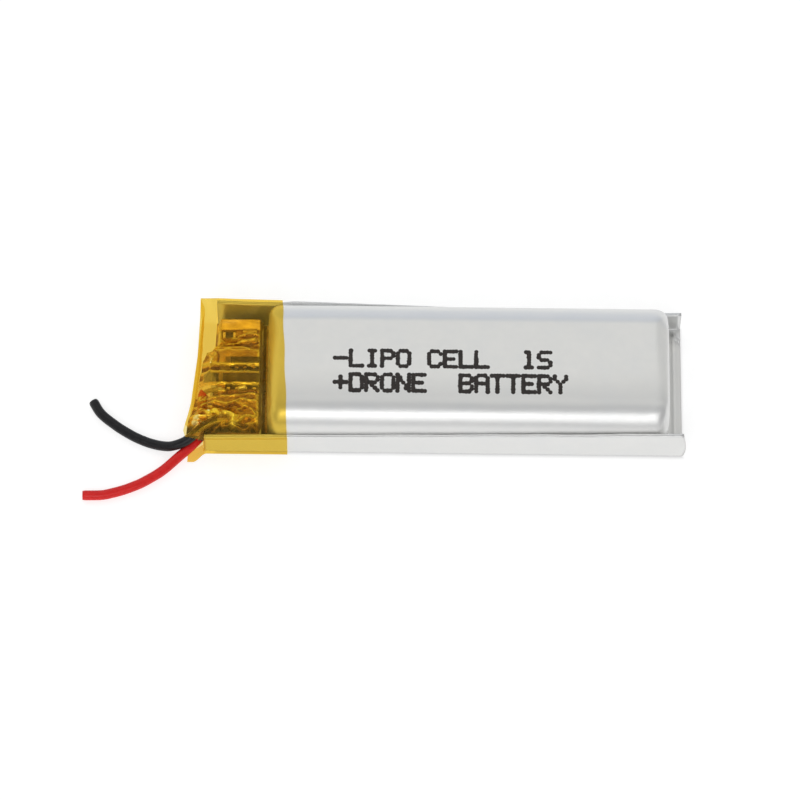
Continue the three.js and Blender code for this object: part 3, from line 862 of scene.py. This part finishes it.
def make_lead(name, route, jacket_material, strand_material):
    """A lead: a hollow jacket that starts past the joint, and seven twisted strands in it."""
    points = smooth_route(route)
    frames = route_frames(points)
    first = round(len(frames) * BARE_SHARE)
    covered = frames[first:]
    last = len(covered) - 1
    draw = random.Random(len(name))
    wobble = draw.uniform(0, 50)

    def outer(i):
        lip = 0.03 if i in (0, last) else 0.0
        return LEAD_RADIUS - lip + 0.006 * noise.noise(Vector((i * 0.35 + wobble, 0, 0)))

    sides = 28
    skin, faces = tube(covered, outer, sides)
    faces = faces[:-2]
    bore_start = len(skin)
    bore, bore_faces = tube(covered, lambda i: LEAD_RADIUS * 0.58, sides)
    skin += bore
    faces += [tuple(bore_start + j for j in face)[::-1] for face in bore_faces[:-2]]
    for k in range(sides):
        n = (k + 1) % sides
        tail = last * sides
        faces.append((n, k, bore_start + k, bore_start + n))
        faces.append((tail + k, tail + n, bore_start + tail + n, bore_start + tail + k))
    make_piece(f"{name}_jacket", skin, faces, jacket_material, f"{name}_insulation", [f"{name}_lead"])

    strands, strand_faces = [], []
    stop = len(frames) - 1
    for number in range(7):
        swing = 0.0 if number == 0 else STRAND_RADIUS * 2.02

        def centre(i, number=number, swing=swing):
            angle = 2 * math.pi * number / 6 + 0.14 * i
            return swing * math.cos(angle), swing * math.sin(angle)

        part, part_faces = tube(frames[:stop], lambda i: STRAND_RADIUS, 8, centre)
        base = len(strands)
        strands += part
        strand_faces += [tuple(base + j for j in face) for face in part_faces]
    make_piece(
        f"{name}_strand_bundle", strands, strand_faces, strand_material,
        "tinned_copper", [f"{name}_lead_strands"])


# ---- solder ------------------------------------------------------------------------------------


def make_solder(name, node, material, seed):
    """A wetted solder joint: a dome with a flared foot, pulled along the lead."""
    low, high = node_box(node)
    centre = (low + high) / 2
    radius = (high.x - low.x) / 2
    height = high.z - low.z
    rings, sides = 14, 32
    points, faces = [], []
    for ring in range(rings):
        share = ring / (rings - 1)
        spread = (1 - share) ** 0.55 if share > 0.12 else 1.0 - 0.1 * share
        z = low.z + height * share ** 1.1
        for k in range(sides):
            angle = 2 * math.pi * k / sides
            around = Vector((math.cos(angle) * 1.4 + seed, math.sin(angle) * 1.4, share * 2))
            lump = 1 + 0.07 * noise.noise(around)
            pull = 1 + 0.18 * share * math.cos(angle - math.pi)
            reach = radius * spread * lump * pull
            points.append((centre.x + reach * math.cos(angle), centre.y + reach * math.sin(angle), z))
    faces += grid_faces(rings, sides, closed=True)
    faces.append(tuple(range(sides))[::-1])
    make_piece(f"{name}_joint", points, faces, material, "solder", [node])


# ---- films -------------------------------------------------------------------------------------

# The inner wrap's height across the board, as (y, z), where it is drawn down over the parts.
WRAP_PROFILE = [
    (-5.05, 0.9), (-4.9, 1.3), (-4.5, 2.0), (-4.2, 2.4), (-3.75, 2.66), (-3.3, 2.46), (-2.9, 2.24),
    (-2.2, 2.3), (-1.5, 2.2), (-1.08, 2.66), (0.05, 2.7), (0.36, 2.26), (0.7, 2.74), (1.85, 2.8),
    (2.3, 2.3), (3.45, 2.2), (3.9, 2.02), (4.5, 2.62), (4.66, 2.4), (4.85, 1.2),
]
WRAP_LEFT = [(-5.05, -19.3), (-4.0, -19.1), (-2.5, -18.7), (-1.0, -18.4), (1.0, -18.1), (2.0, -17.65),
             (2.6, -17.22), (4.85, -17.12)]
WRAP_RIGHT = -13.15
WRAP_SKIRT = -13.85
WRAP_STEPS = (120, 220)
FILM_GAP = 0.03  # between a film and what it lies on

# Folds gathered into the wrap: height, half width and points. Negative heights are creases.
HOOK = [(-17.5, -3.42), (-16.9, -3.3), (-16.2, -3.34), (-15.85, -3.5), (-15.62, -3.85), (-15.66, -4.2)]
FOLDS = [
    (0.33, 0.25, HOOK),
    (0.16, 0.10, [(-17.5, -3.15), (-17.1, -3.3), (-16.6, -3.62)]),
    (0.16, 0.10, [(-16.9, 2.3), (-15.9, 2.42), (-15.2, 2.75), (-14.2, 3.0)]),
    (0.13, 0.09, [(-17.4, 2.2), (-16.4, 2.05), (-15.5, 2.15), (-14.6, 1.9)]),
    (-0.14, 0.08, [(-15.6, 2.5), (-14.9, 2.45), (-14.0, 2.7)]),
    (0.14, 0.10, [(-15.4, 3.2), (-14.7, 3.55), (-14.0, 3.4)]),
    (0.12, 0.08, [(-17.9, 1.9), (-17.4, 1.2), (-17.5, 0.3), (-17.9, -0.4)]),
    (-0.12, 0.08, [(-17.5, 2.1), (-17.0, 1.6), (-16.9, 0.9)]),
    (0.10, 0.07, [(-17.0, 0.62), (-16.0, 0.55), (-15.0, 0.6), (-14.0, 0.52)]),
    (0.10, 0.07, [(-16.9, -0.98), (-15.6, -0.92), (-14.1, -0.96)]),
    (0.12, 0.08, [(-17.9, -2.3), (-16.8, -1.95), (-15.6, -1.75), (-14.1, -1.6)]),
    (0.14, 0.09, [(-18.1, -2.7), (-17.0, -2.35), (-16.2, -2.6), (-15.2, -2.15), (-13.9, -2.35)]),
    (-0.12, 0.08, [(-17.6, -2.6), (-16.5, -2.85), (-15.6, -2.6), (-14.6, -2.9)]),
    (0.15, 0.10, [(-15.4, -3.0), (-14.9, -2.7), (-14.3, -3.05), (-13.95, -3.6)]),
    (0.15, 0.09, [(-15.2, -4.1), (-14.8, -3.6), (-14.3, -3.9), (-13.95, -3.8)]),
    (0.16, 0.09, [(-16.6, -4.5), (-15.8, -4.35), (-15.0, -4.6), (-14.2, -4.35), (-13.8, -4.6)]),
    (-0.15, 0.09, [(-16.2, -4.25), (-15.4, -4.3), (-14.6, -4.1)]),
    (0.14, 0.08, [(-18.8, -3.6), (-18.0, -3.3), (-17.5, -3.4)]),
]
# Small domes pressed into the wrap by the chips' legs.
DOMES = [
    [(-16.78, 0.15), (-16.4, 0.15)], [(-15.95, 0.15), (-15.85, 0.15)], [(-15.2, 0.15), (-15.1, 0.15)],
    [(-14.65, 0.15), (-14.55, 0.15)], [(-16.8, -1.37), (-16.7, -1.37)], [(-15.3, -1.33), (-14.9, -1.27)],
]


def along(points, values):
    """Heights or places read off a short list of (where, what) pairs."""
    where, what = zip(*points)
    return np.interp(values, where, what)


def distance_to(xs, ys, points):
    """Distance of every grid point from a line through points."""
    nearest = np.full(xs.shape, 1e3)
    for (ax, ay), (bx, by) in zip(points, points[1:]):
        length = (bx - ax) ** 2 + (by - ay) ** 2
        share = np.clip(((xs - ax) * (bx - ax) + (ys - ay) * (by - ay)) / length, 0, 1)
        nearest = np.minimum(nearest, np.hypot(xs - ax - share * (bx - ax), ys - ay - share * (by - ay)))
    return nearest


def ramp_between(values, low, high):
    """blend_between for a whole grid."""
    share = np.clip((values - low) / (high - low), 0, 1)
    return share * share * (3 - 2 * share)


def noise_field(xs, ys, across, down, seed):
    """Smooth noise over a grid, with features across by down millimetres."""
    return np.array([
        noise.noise(Vector((x / across + seed, y / down - seed, seed))) for x, y in zip(xs.flat, ys.flat)
    ]).reshape(xs.shape)


def crumple_field(xs, ys, across, down, seed):
    """Sharp ridges between flat facets, from about -1 to 1."""
    broad = 1 - 3.2 * np.abs(noise_field(xs, ys, across, down, seed))
    fine = 1 - 3.2 * np.abs(noise_field(xs, ys, across * 0.45, down * 0.5, seed + 7))
    return 0.78 * broad + 0.22 * fine


def parts_under(xs, ys):
    """Height of the board's parts and the leads under every grid point."""
    top = np.zeros(xs.shape)
    for name in ("protection_board", "filter_resistor", "sense_resistor", "filter_capacitor"):
        low, high = node_box(name)
        inside = (xs > low.x - 0.04) & (xs < high.x + 0.04) & (ys > low.y - 0.04) & (ys < high.y + 0.04)
        top = np.where(inside, np.maximum(top, high.z), top)
    for name in ("protection_ic", "dual_mosfet"):
        low, high = node_box(name)
        middle = (low.y + high.y) / 2
        inside = (xs > low.x - 0.04) & (xs < high.x + 0.04) & (np.abs(ys - middle) < CHIP_BODY / 2 + 0.04)
        top = np.where(inside, np.maximum(top, high.z), top)
    for route in (BLACK_ROUTE, RED_ROUTE):
        for point in smooth_route(route):
            reach = (xs - point.x) ** 2 + (ys - point.y) ** 2
            lift = np.sqrt(np.clip(LEAD_RADIUS ** 2 - reach, 0, None))
            top = np.where(reach < LEAD_RADIUS ** 2, np.maximum(top, point.z + lift), top)
    return top


def wrap_surface():
    """The inner wrap over the board, as grids of x, y and z."""
    ys = np.linspace(WRAP_PROFILE[0][0], WRAP_PROFILE[-1][0], WRAP_STEPS[1])
    share = np.linspace(0, 1, WRAP_STEPS[0])[:, None]
    left = along(WRAP_LEFT, ys)[None, :]
    xs = left + (WRAP_RIGHT - left) * share
    ys = np.broadcast_to(ys, xs.shape)
    z = along(WRAP_PROFILE, ys) + 0.06 * noise_field(xs, ys, 1.6, 0.9, 4.0)
    loose = 0.02 + 0.10 * ramp_between(ys, 1.7, 2.2) * ramp_between(-ys, -3.5, -3.0)
    loose = loose + 0.10 * ramp_between(-ys, 1.3, 1.8) + 0.06 * ramp_between(-ys, 4.0, 4.3)
    loose = loose + 0.06 * ramp_between(-xs, 16.9, 17.4) * (1 - ramp_between(ys, 3.2, 3.8))
    z = z + loose * crumple_field(xs + 0.25 * noise_field(xs, ys, 0.8, 0.8, 21.0), ys, 1.3, 0.75, 2.0)
    across = xs + 0.16 * noise_field(xs, ys, 0.9, 0.9, 31.0)
    down = ys + 0.16 * noise_field(xs, ys, 0.7, 0.7, 37.0) + 0.05 * noise_field(xs, ys, 0.25, 0.25, 41.0)
    for height, width, points in FOLDS:
        z = z + height * np.exp(-(distance_to(across, down, points) / width) ** 2)
    for points in DOMES:
        z = z + 0.085 * np.exp(-(distance_to(xs, ys, points) / 0.1) ** 2)
    z = z - (z - 1.0) * ramp_between(xs, WRAP_SKIRT, WRAP_SKIRT + 0.5)
    edge = xs - left
    steep = ramp_between(ys, 1.6, 2.6)
    z = z - (z - 1.25) * steep * (1 - ramp_between(edge, 0.0, 0.4))
    z = z - 0.5 * (1 - steep) * (1 - ramp_between(edge, 0.0, 0.8))
    under = parts_under(xs, ys) + FILM_GAP
    return xs, ys, np.maximum(z, np.where(xs < WRAP_SKIRT + 0.1, under, 0))


def blurred(field, reach):
    """A field averaged over a square of 2 * reach + 1 points."""
    for axis in (0, 1):
        padded = np.pad(field, [(reach, reach) if k == axis else (0, 0) for k in (0, 1)], mode="edge")
        total = sum(np.roll(padded, shift, axis) for shift in range(-reach, reach + 1))
        field = np.take(total, range(reach, reach + field.shape[axis]), axis) / (2 * reach + 1)
    return field


def patch(xs, ys, x, y, half_x, half_y, soft=0.12):
    """1 inside a rectangle, 0 outside, with a soft edge."""
    return (1 - ramp_between(np.abs(xs - x), half_x, half_x + soft)) * (
        1 - ramp_between(np.abs(ys - y), half_y, half_y + soft))


def toward(old, new, share):
    """A grid of colours or covers, moved a share of the way to a new value."""
    if share.ndim < old.ndim:
        share = share[..., None]
    return old + (np.array(new) - old) * share


def wrap_paint(xs, ys, z):
    """Colour and cover: darker in creases (film laid over itself, partly painted shade), painted highlights
    on ridges and in a few other places, painted shade in a hollow and along the folds, clear where it is
    drawn tight over parts.
    """
    relief = z - blurred(z, 6)
    rise = np.gradient(z, axis=1) / np.gradient(ys, axis=1)
    # hollows of the relief are darkened, partly for film laid over itself and partly as painted shade;
    # raised places are lightened as a painted highlight
    crease = np.clip(-relief / 0.07, 0, 1)[..., None]
    ridge_highlight = np.clip(relief / 0.05, 0, 1)[..., None]
    broad = np.clip(0.5 + 0.9 * noise_field(xs, ys, 1.4, 0.6, 12.0), 0, 1)[..., None]
    # brown is the painted shade of the creases, gold the painted highlight of the ridges
    brown, amber = np.array((0.30, 0.085, 0.004)), np.array((0.95, 0.43, 0.04))
    orange, gold = np.array((1.0, 0.58, 0.07)), np.array((1.0, 0.80, 0.22))
    colour = amber + (orange - amber) * broad
    cover = 0.42 + 0.25 * broad[..., 0]
    colour = toward(toward(colour, brown, crease), gold, ridge_highlight)
    cover = cover + 0.35 * np.maximum(crease, ridge_highlight)[..., 0]

    # clear over the parts and the black lead
    lead = 1 - ramp_between(distance_to(xs, ys, [point[:2] for point in BLACK_ROUTE[1:6]]), 0.15, 0.36)
    tight = np.maximum.reduce([
        patch(xs, ys, -15.0, 0.98, 1.35, 0.2), patch(xs, ys, -15.3, 0.26, 1.4, 0.18),
        patch(xs, ys, -15.3, -0.5, 1.9, 0.34), patch(xs, ys, -15.1, -1.24, 1.2, 0.1),
        patch(xs, ys, -16.2, 3.45, 0.5, 0.3), patch(xs, ys, -17.8, -1.55, 0.85, 0.36), 0.9 * lead])
    cover = cover * (1 - 0.84 * tight)

    # painted shade in the hollow beside the board's left end
    shade = patch(xs, ys, -17.4, -0.5, 0.5, 0.3, 0.2)
    colour = toward(colour, (0.13, 0.085, 0.02), shade)
    cover = toward(cover, 0.72, shade)

    # a painted highlight in a flat strip along the far side
    far_band_highlight = patch(xs, ys, -15.3, 4.25, 1.75, 0.3)
    colour = toward(colour, (1.0, 0.68, 0.16), far_band_highlight)
    cover = toward(cover, 0.85, far_band_highlight)

    # painted shade: dark folds along the near side and in the gap down beside the cup, partly film laid
    # over itself
    fold_shade = ramp_between(-ys, 4.1, 4.4) * (0.7 + 0.3 * (1 - ridge_highlight[..., 0])) * (1 - 0.8 * lead)
    skirt = ramp_between(xs, WRAP_SKIRT - 0.05, WRAP_SKIRT + 0.12)
    # the painted shade's colour, lightened on the ridges as a painted highlight and olive in the upper part
    # of the gap by the cup
    dark = np.array((0.055, 0.010, 0.0005)) + 0.3 * np.array((1.0, 0.30, 0.02)) * ridge_highlight
    dark = toward(dark, (0.46, 0.30, 0.11), skirt * ramp_between(ys, -4.3, -3.6))
    fold_shade = np.maximum(fold_shade, 0.7 * skirt)
    colour = toward(colour, dark, fold_shade)
    cover = np.maximum(cover, 0.93 * fold_shade)

    # painted highlights: on the front-facing slope of the fold over the black lead, and on the domes over
    # the chips' legs
    hook_highlight = np.exp(-(distance_to(xs, ys, HOOK) / 0.3) ** 2) * np.clip((rise + 0.2) / 0.3, 0, 1)
    colour = toward(colour, (1.6, 1.5, 0.6), hook_highlight)
    cover = toward(cover, 0.95, hook_highlight)
    near = np.minimum.reduce([distance_to(xs, ys, points) for points in DOMES])
    dome_glint = np.exp(-(near / 0.12) ** 2)
    colour = toward(colour, (1.0, 0.97, 0.62), dome_glint)
    cover = toward(cover, 0.95, dome_glint)
    return np.concatenate([colour, np.clip(cover, 0.05, 0.95)[..., None]], axis=2)


def make_board_wrap(material):
    """The inner wrap with its paint; gives back its heights for the outer tape to lie on."""
    xs, ys, z = wrap_surface()
    mesh = bpy.data.meshes.new("board_wrap_film")
    points = zip(xs.flat, ys.flat, z.flat)
    mesh.from_pydata([Vector(point) * MM for point in points], [], grid_faces(*xs.shape))
    paint = mesh.color_attributes.new("paint", "FLOAT_COLOR", "POINT")
    paint.data.foreach_set("color", wrap_paint(xs, ys, z).ravel().astype(np.float32))
    mesh.materials.append(material)
    mesh.polygons.foreach_set("use_smooth", [True] * len(mesh.polygons))
    piece = bpy.data.objects.new("board_wrap_film", mesh)
    bpy.context.collection.objects.link(piece)
    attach(piece, "root")
    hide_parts("board_wrap_tape")
    return z


ROOF_STEPS = (130, 226)
ROOF_LEFT = [(-5.64, -19.3), (-5.1, -19.45), (-2.5, -18.9), (1.2, -18.5), (4.5, -18.36), (5.64, -18.34)]
ROOF_END = [(-5.64, 1.7), (-5.1, 1.85), (-4.0, 2.2), (-2.0, 2.5), (0.0, 2.6), (2.0, 2.7),
            (4.0, 3.1), (5.64, 3.8)]
ROOF_PASSES = 1500
NEAR_FLANGE_LEFT = -17.9
PULL = 0.7  # downward pull of the adhesive against the film's tension, per millimetre


def height_of(piece, xs, ys):
    """Height of a piece's upper surface under every grid point."""
    surface = surface_of(piece)
    return np.array([surface_height(surface, x, y) for x, y in zip(xs.flat, ys.flat)]).reshape(xs.shape)


def roof_obstacle(xs, ys, wrap_z, skins):
    """Height of everything that the outer tape lies on."""
    top = np.maximum.reduce([
        height_of(skin, xs, np.clip(ys, -edge, edge)) for skin in skins for edge in (5.26, 5.39)])
    for field in (top, top.T):  # a point takes its next neighbour's height where that is higher
        higher = np.maximum(field[:, 1:], field[:, :-1])
        field[:, 1:] = higher
        field[:, :-1] = higher
    top = top + FILM_GAP
    left = along(WRAP_LEFT, ys)
    column = (xs - left) / (WRAP_RIGHT - left) * (WRAP_STEPS[0] - 1)
    row = (ys - WRAP_PROFILE[0][0]) / (WRAP_PROFILE[-1][0] - WRAP_PROFILE[0][0]) * (WRAP_STEPS[1] - 1)
    inside = (column >= 0) & (column <= WRAP_STEPS[0] - 1) & (row >= 0) & (row <= WRAP_STEPS[1] - 1)
    column = np.clip(column, 0, WRAP_STEPS[0] - 1).astype(int)
    row = np.clip(row, 0, WRAP_STEPS[1] - 1).astype(int)
    top = np.where(inside, np.maximum(top, wrap_z[column, row] + FILM_GAP), top)
    return np.maximum(top, parts_under(xs, ys) + 2 * FILM_GAP)


def tape_roof(wrap_z, skins):
    """The outer tape's upper film as grids of x, y and z: drawn tight over what is under it."""
    ys = np.linspace(-TAPE_HALF, TAPE_HALF, ROOF_STEPS[1])
    share = np.linspace(0, 1, ROOF_STEPS[0])[:, None]
    left = along(ROOF_LEFT, ys)[None, :]
    right = (TAPE_RIGHT + 0.12 - 0.045 * ys + 0.03 * np.sin(ys * 1.7))[None, :]
    xs = left + (right - left) * share
    ys = np.broadcast_to(ys, xs.shape)
    floor = roof_obstacle(xs, ys, wrap_z, skins)
    height = floor.copy()
    height[0] = np.maximum(along(ROOF_END, ys[0]), floor[0])
    step = TAPE_HALF * 2 / ROOF_STEPS[1]
    for _ in range(ROOF_PASSES):
        mean = (height[:-2, 1:-1] + height[2:, 1:-1] + height[1:-1, :-2] + height[1:-1, 2:]) / 4
        height[1:-1, 1:-1] = np.maximum(mean - PULL * step * step / 4, floor[1:-1, 1:-1])
        height[-1] = floor[-1]
        for edge in (0, -1):
            drawn = (height[:-2, edge] + height[2:, edge]) / 2
            height[1:-1, edge] = np.maximum(drawn, floor[1:-1, edge])
    wrinkle = 0.012 * noise_field(xs, ys, 0.6, 1.6, 6.0) + 0.02 * noise_field(xs, ys, 1.8, 0.9, 3.0)
    height = height + np.maximum(wrinkle, -0.01)
    corner = ramp_between(-xs, 17.9, 19.4) * ramp_between(-ys, 3.0, 5.6)
    return xs, ys + 0.55 * corner, height


def make_end_tape(materials, wrap_z, skins):
    """The outer tape as one sheet: upper film, side walls, lower film and the gathered left end."""
    xs, ys, height = tape_roof(wrap_z, skins)
    steps = ROOF_STEPS[0]
    wall_rows, floor_rows = 14, 40
    points = []
    for i in range(steps):
        section = list(zip(xs[i], ys[i], height[i]))
        section += tape_wall(xs[i, -1], ys[i, -1], height[i, -1], 1, wall_rows)
        near = tape_wall(xs[i, 0], ys[i, 0], height[i, 0], -1, wall_rows)
        for row in range(floor_rows + 1):
            y = TAPE_HALF * (1 - 2 * row / floor_rows) * 0.995
            share = row / floor_rows
            x = xs[i, -1] + (xs[i, 0] - xs[i, -1]) * share
            pull = blend_between(-x, 17.7, 18.9) * blend_between(-y, 3.4, 5.5)
            section.append((x + 0.15 * pull, y - 0.75 * pull, 0.02 + 0.05 * pull))
        points += section + near[::-1]
    columns = len(points) // steps
    opening = range(columns - wall_rows + 1, columns)
    faces = []
    for face in grid_faces(steps, columns, closed=True):
        a, b = face[0] % columns, face[1] % columns
        if points[face[0]][0] < NEAR_FLANGE_LEFT - 0.05 and (a in opening or b in opening):
            continue
        faces.append(face)
    add_tape_end(points, faces)
    piece = make_piece("end_tape_film", points, faces, materials[0], "amber_film", ["end_tape"])
    for material in materials[1:]:
        piece.data.materials.append(material)
    for face in piece.data.polygons:
        x, y, _ = face.center / MM
        flap = y < -5.0 and x < NEAR_FLANGE_LEFT
        face.material_index = 2 if flap else int(x > SHEET_LEFT - 0.06 * (5.1 - y) or y < -4.9)
    return piece


def tape_wall(x, y, top, side, rows):
    """Points down one side of the tape, from below its upper film to above its lower one."""
    wall = []
    for row in range(1, rows):
        z = top + (0.03 - top) * row / rows
        lean = flange_lean(max(x, SHEET_LEFT), z, side) + 0.012 * ripple(x * 1.5, z, 1.0, 4.4 + side)
        out = abs(y) + (TAPE_HALF - abs(y)) * row / rows
        wall.append((x, side * (out - 0.04 + lean), z))
    return wall


TAPE_OPENING = -4.2  # the left end is gathered shut from the far side to here; the leads leave beyond


def add_tape_end(points, faces):
    """Joins the left edge of the upper film to the left edge of the lower one."""
    rows = 12
    top = [j for j in range(ROOF_STEPS[1]) if points[j][1] > TAPE_OPENING]
    previous = top
    for row in range(1, rows + 1):
        share = row / rows
        current = []
        for j in top:
            x, y, z = points[j]
            arch = math.sin(math.pi * share)
            bulge = 0.25 * arch + 0.06 * ripple(y, share * 2, 0.7, 8.8) * arch
            current.append(len(points))
            points.append((x + bulge, y, z + (0.03 - z) * share))
        for a, b, c, d in zip(previous, previous[1:], current[1:], current):
            faces.append((b, a, d, c))
        previous = current


# ---- board parts -------------------------------------------------------------------------------

CHIP_BODY = 1.05
LEG_PITCH = 0.65


def block(low, high, bevel, taper=0.0):
    """Points and faces of a bevelled block whose top is drawn in by taper."""
    shape = bmesh.new()
    bmesh.ops.create_cube(shape, size=1)
    for vert in shape.verts:
        inset = taper if vert.co.z > 0 else 0.0
        place = [low[k] + (vert.co[k] + 0.5) * (high[k] - low[k]) for k in range(3)]
        for k in (0, 1):
            place[k] -= math.copysign(inset, vert.co[k])
        vert.co = place
    bmesh.ops.bevel(shape, geom=shape.edges[:], offset=bevel, segments=2, affect="EDGES", profile=0.6)
    shape.verts.index_update()
    points = [tuple(vert.co) for vert in shape.verts]
    faces = [tuple(vert.index for vert in face.verts) for face in shape.faces]
    shape.free()
    return points, faces


def join(parts):
    """Several (points, faces) pairs as one."""
    points, faces = [], []
    for part_points, part_faces in parts:
        start = len(points)
        points += part_points
        faces += [tuple(start + i for i in face) for face in part_faces]
    return points, faces


def leg(x, y, side, body, reach, exit_height, foot):
    """A gull-wing leg: out of the body, down and along the board."""
    path = [(body - 0.06, exit_height), (body + 0.08, exit_height), (body + 0.13, exit_height - 0.05),
            (body + 0.18, foot + 0.07), (body + 0.22, foot), (reach, foot)]
    half, thick = 0.13, 0.06
    points = []
    for i, (u, z) in enumerate(path):
        before, after = path[max(i - 1, 0)], path[min(i + 1, len(path) - 1)]
        run = Vector((after[0] - before[0], after[1] - before[1])).normalized()
        for across, lift in ((-half, -thick), (half, -thick), (half, thick), (-half, thick)):
            points.append((x + across, y + side * (u - run.y * lift), z + run.x * lift))
    faces = grid_faces(len(path), 4, closed=True)
    faces += [(3, 2, 1, 0), tuple(range(len(points) - 4, len(points)))]
    return points, faces


def make_chip(node, legs, epoxy, metal):
    """A moulded chip and its legs, in the place of its CAD node."""
    low, high = node_box(node)
    middle = (low.y + high.y) / 2
    reach = (high.y - low.y) / 2
    body_low = (low.x, middle - CHIP_BODY / 2, low.z + 0.08)
    body_high = (high.x, middle + CHIP_BODY / 2, high.z)
    points, faces = block(body_low, body_high, 0.05, 0.05)
    make_piece(f"{node}_body", points, faces, epoxy, "chip", [node], smooth=False)
    centre = (low.x + high.x) / 2
    exit_height = (body_low[2] + body_high[2]) / 2
    parts = []
    for side in (-1, 1):
        for i in range(legs):
            x = centre + (i - (legs - 1) / 2) * LEG_PITCH
            parts.append(leg(x, middle, side, CHIP_BODY / 2, reach, exit_height, low.z + 0.07))
    points, faces = join(parts)
    make_piece(f"{node}_legs", points, faces, metal, "solder", [node], smooth=False)


def make_passive(node, body_material, cap_material):
    """A chip resistor or capacitor: a body and two metal ends."""
    low, high = node_box(node)
    cap = (high.x - low.x) * 0.22
    body = block((low.x + 0.02, low.y + 0.02, low.z), (high.x - 0.02, high.y - 0.02, high.z - 0.02), 0.02)
    make_piece(f"{node}_body", *body, body_material, "chip", [node], smooth=False)
    ends = join([
        block((low.x, low.y, low.z), (low.x + cap, high.y, high.z), 0.04),
        block((high.x - cap, low.y, low.z), (high.x, high.y, high.z), 0.04)])
    make_piece(f"{node}_ends", *ends, cap_material, "solder", [node], smooth=False)


# ---- carried-over nodes ------------------------------------------------------------------------


def dress_nodes():
    """Procedural materials for the CAD nodes that stay."""
    separator = plain_material("separator_film", (0.78, 0.78, 0.74), (0.9, 0.9, 0.87), 0.6, 12.0, 0.003)
    nickel = metal_material("nickel", (0.66, 0.62, 0.55), 0.28, 10.0, (0.2, 1, 1))
    sealant = plain_material("sealant_film", (0.02, 0.02, 0.02), (0.05, 0.05, 0.05), 0.5)
    finishes = {
        "inner_separator": separator,
        "outer_separator": separator,
        "cathode_strip": plain_material(
            "oxide_coating", (0.02, 0.02, 0.022), (0.045, 0.045, 0.05), 0.8, 20.0, 0.01),
        "anode_strip": plain_material(
            "graphite_coating", (0.03, 0.028, 0.026), (0.07, 0.064, 0.06), 0.7, 18.0, 0.01),
        "roll_end_tape": plain_material("roll_tape", (0.06, 0.22, 0.08), (0.11, 0.33, 0.14), 0.4),
        "positive_tab": metal_material("rolled_aluminium", (0.80, 0.81, 0.82), 0.3, 9.0, (0.15, 1, 1)),
        "negative_tab": nickel,
        "positive_pad": nickel,
        "negative_pad": nickel,
        "positive_tab_sealant": sealant,
        "negative_tab_sealant": sealant,
        "insulating_paper": plain_material(
            "insulating_paper", (0.58, 0.52, 0.36), (0.72, 0.67, 0.5), 0.9, 9.0, 0.02),
        "protection_board": board_material(),
    }
    for name, material in finishes.items():
        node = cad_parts[name]
        node.data.materials.clear()
        node.data.materials.append(material)


# ---- the pack ----------------------------------------------------------------------------------

make_camera()
make_studio()
laminate = laminate_material()
cup_skin = make_pouch_cup(laminate)
cover_skin = make_pouch_cover(laminate)
make_mark(ink_material(), cup_skin)

tinned = metal_material("tinned_strands", (0.74, 0.71, 0.68), 0.3, 14.0)
make_lead("black", BLACK_ROUTE, insulation_material(
    "black_insulation", (0.006, 0.006, 0.007), (0.013, 0.013, 0.014)), tinned)
make_lead("red", RED_ROUTE, insulation_material(
    "red_insulation", (0.64, 0.012, 0.011), (0.76, 0.020, 0.017)), tinned)

solder = metal_material("solder", (0.82, 0.83, 0.84), 0.16, 5.0, relief=0.012)
make_solder("positive", "positive_solder", solder, 1.0)
make_solder("negative", "negative_solder", solder, 4.0)

dress_nodes()
epoxy = plain_material("moulded_epoxy", (0.012, 0.012, 0.013), (0.03, 0.03, 0.032), 0.5, 16.0, 0.012)
ceramic = plain_material("ceramic", (0.22, 0.13, 0.06), (0.42, 0.27, 0.14), 0.5, 10.0)
make_chip("protection_ic", 3, epoxy, solder)
make_chip("dual_mosfet", 4, epoxy, solder)
make_passive("filter_resistor", epoxy, solder)
make_passive("sense_resistor", epoxy, solder)
make_passive("filter_capacitor", ceramic, solder)

wrap_z = make_board_wrap(wrap_material())
make_end_tape([
    film_material("amber_film_single", (0.91, 0.775, 0.33), (0.9, 0.62, 0.10), 0.05, 0.14, 0.01),
    film_material("amber_film_double", (0.945, 0.795, 0.31), (0.9, 0.60, 0.08), 0.07, 0.16, 0.012),
    film_material("amber_film_gathered", (0.88, 0.58, 0.11), (0.85, 0.50, 0.04), 0.15, 0.16, 0.02),
], wrap_z, [cup_skin, cover_skin])
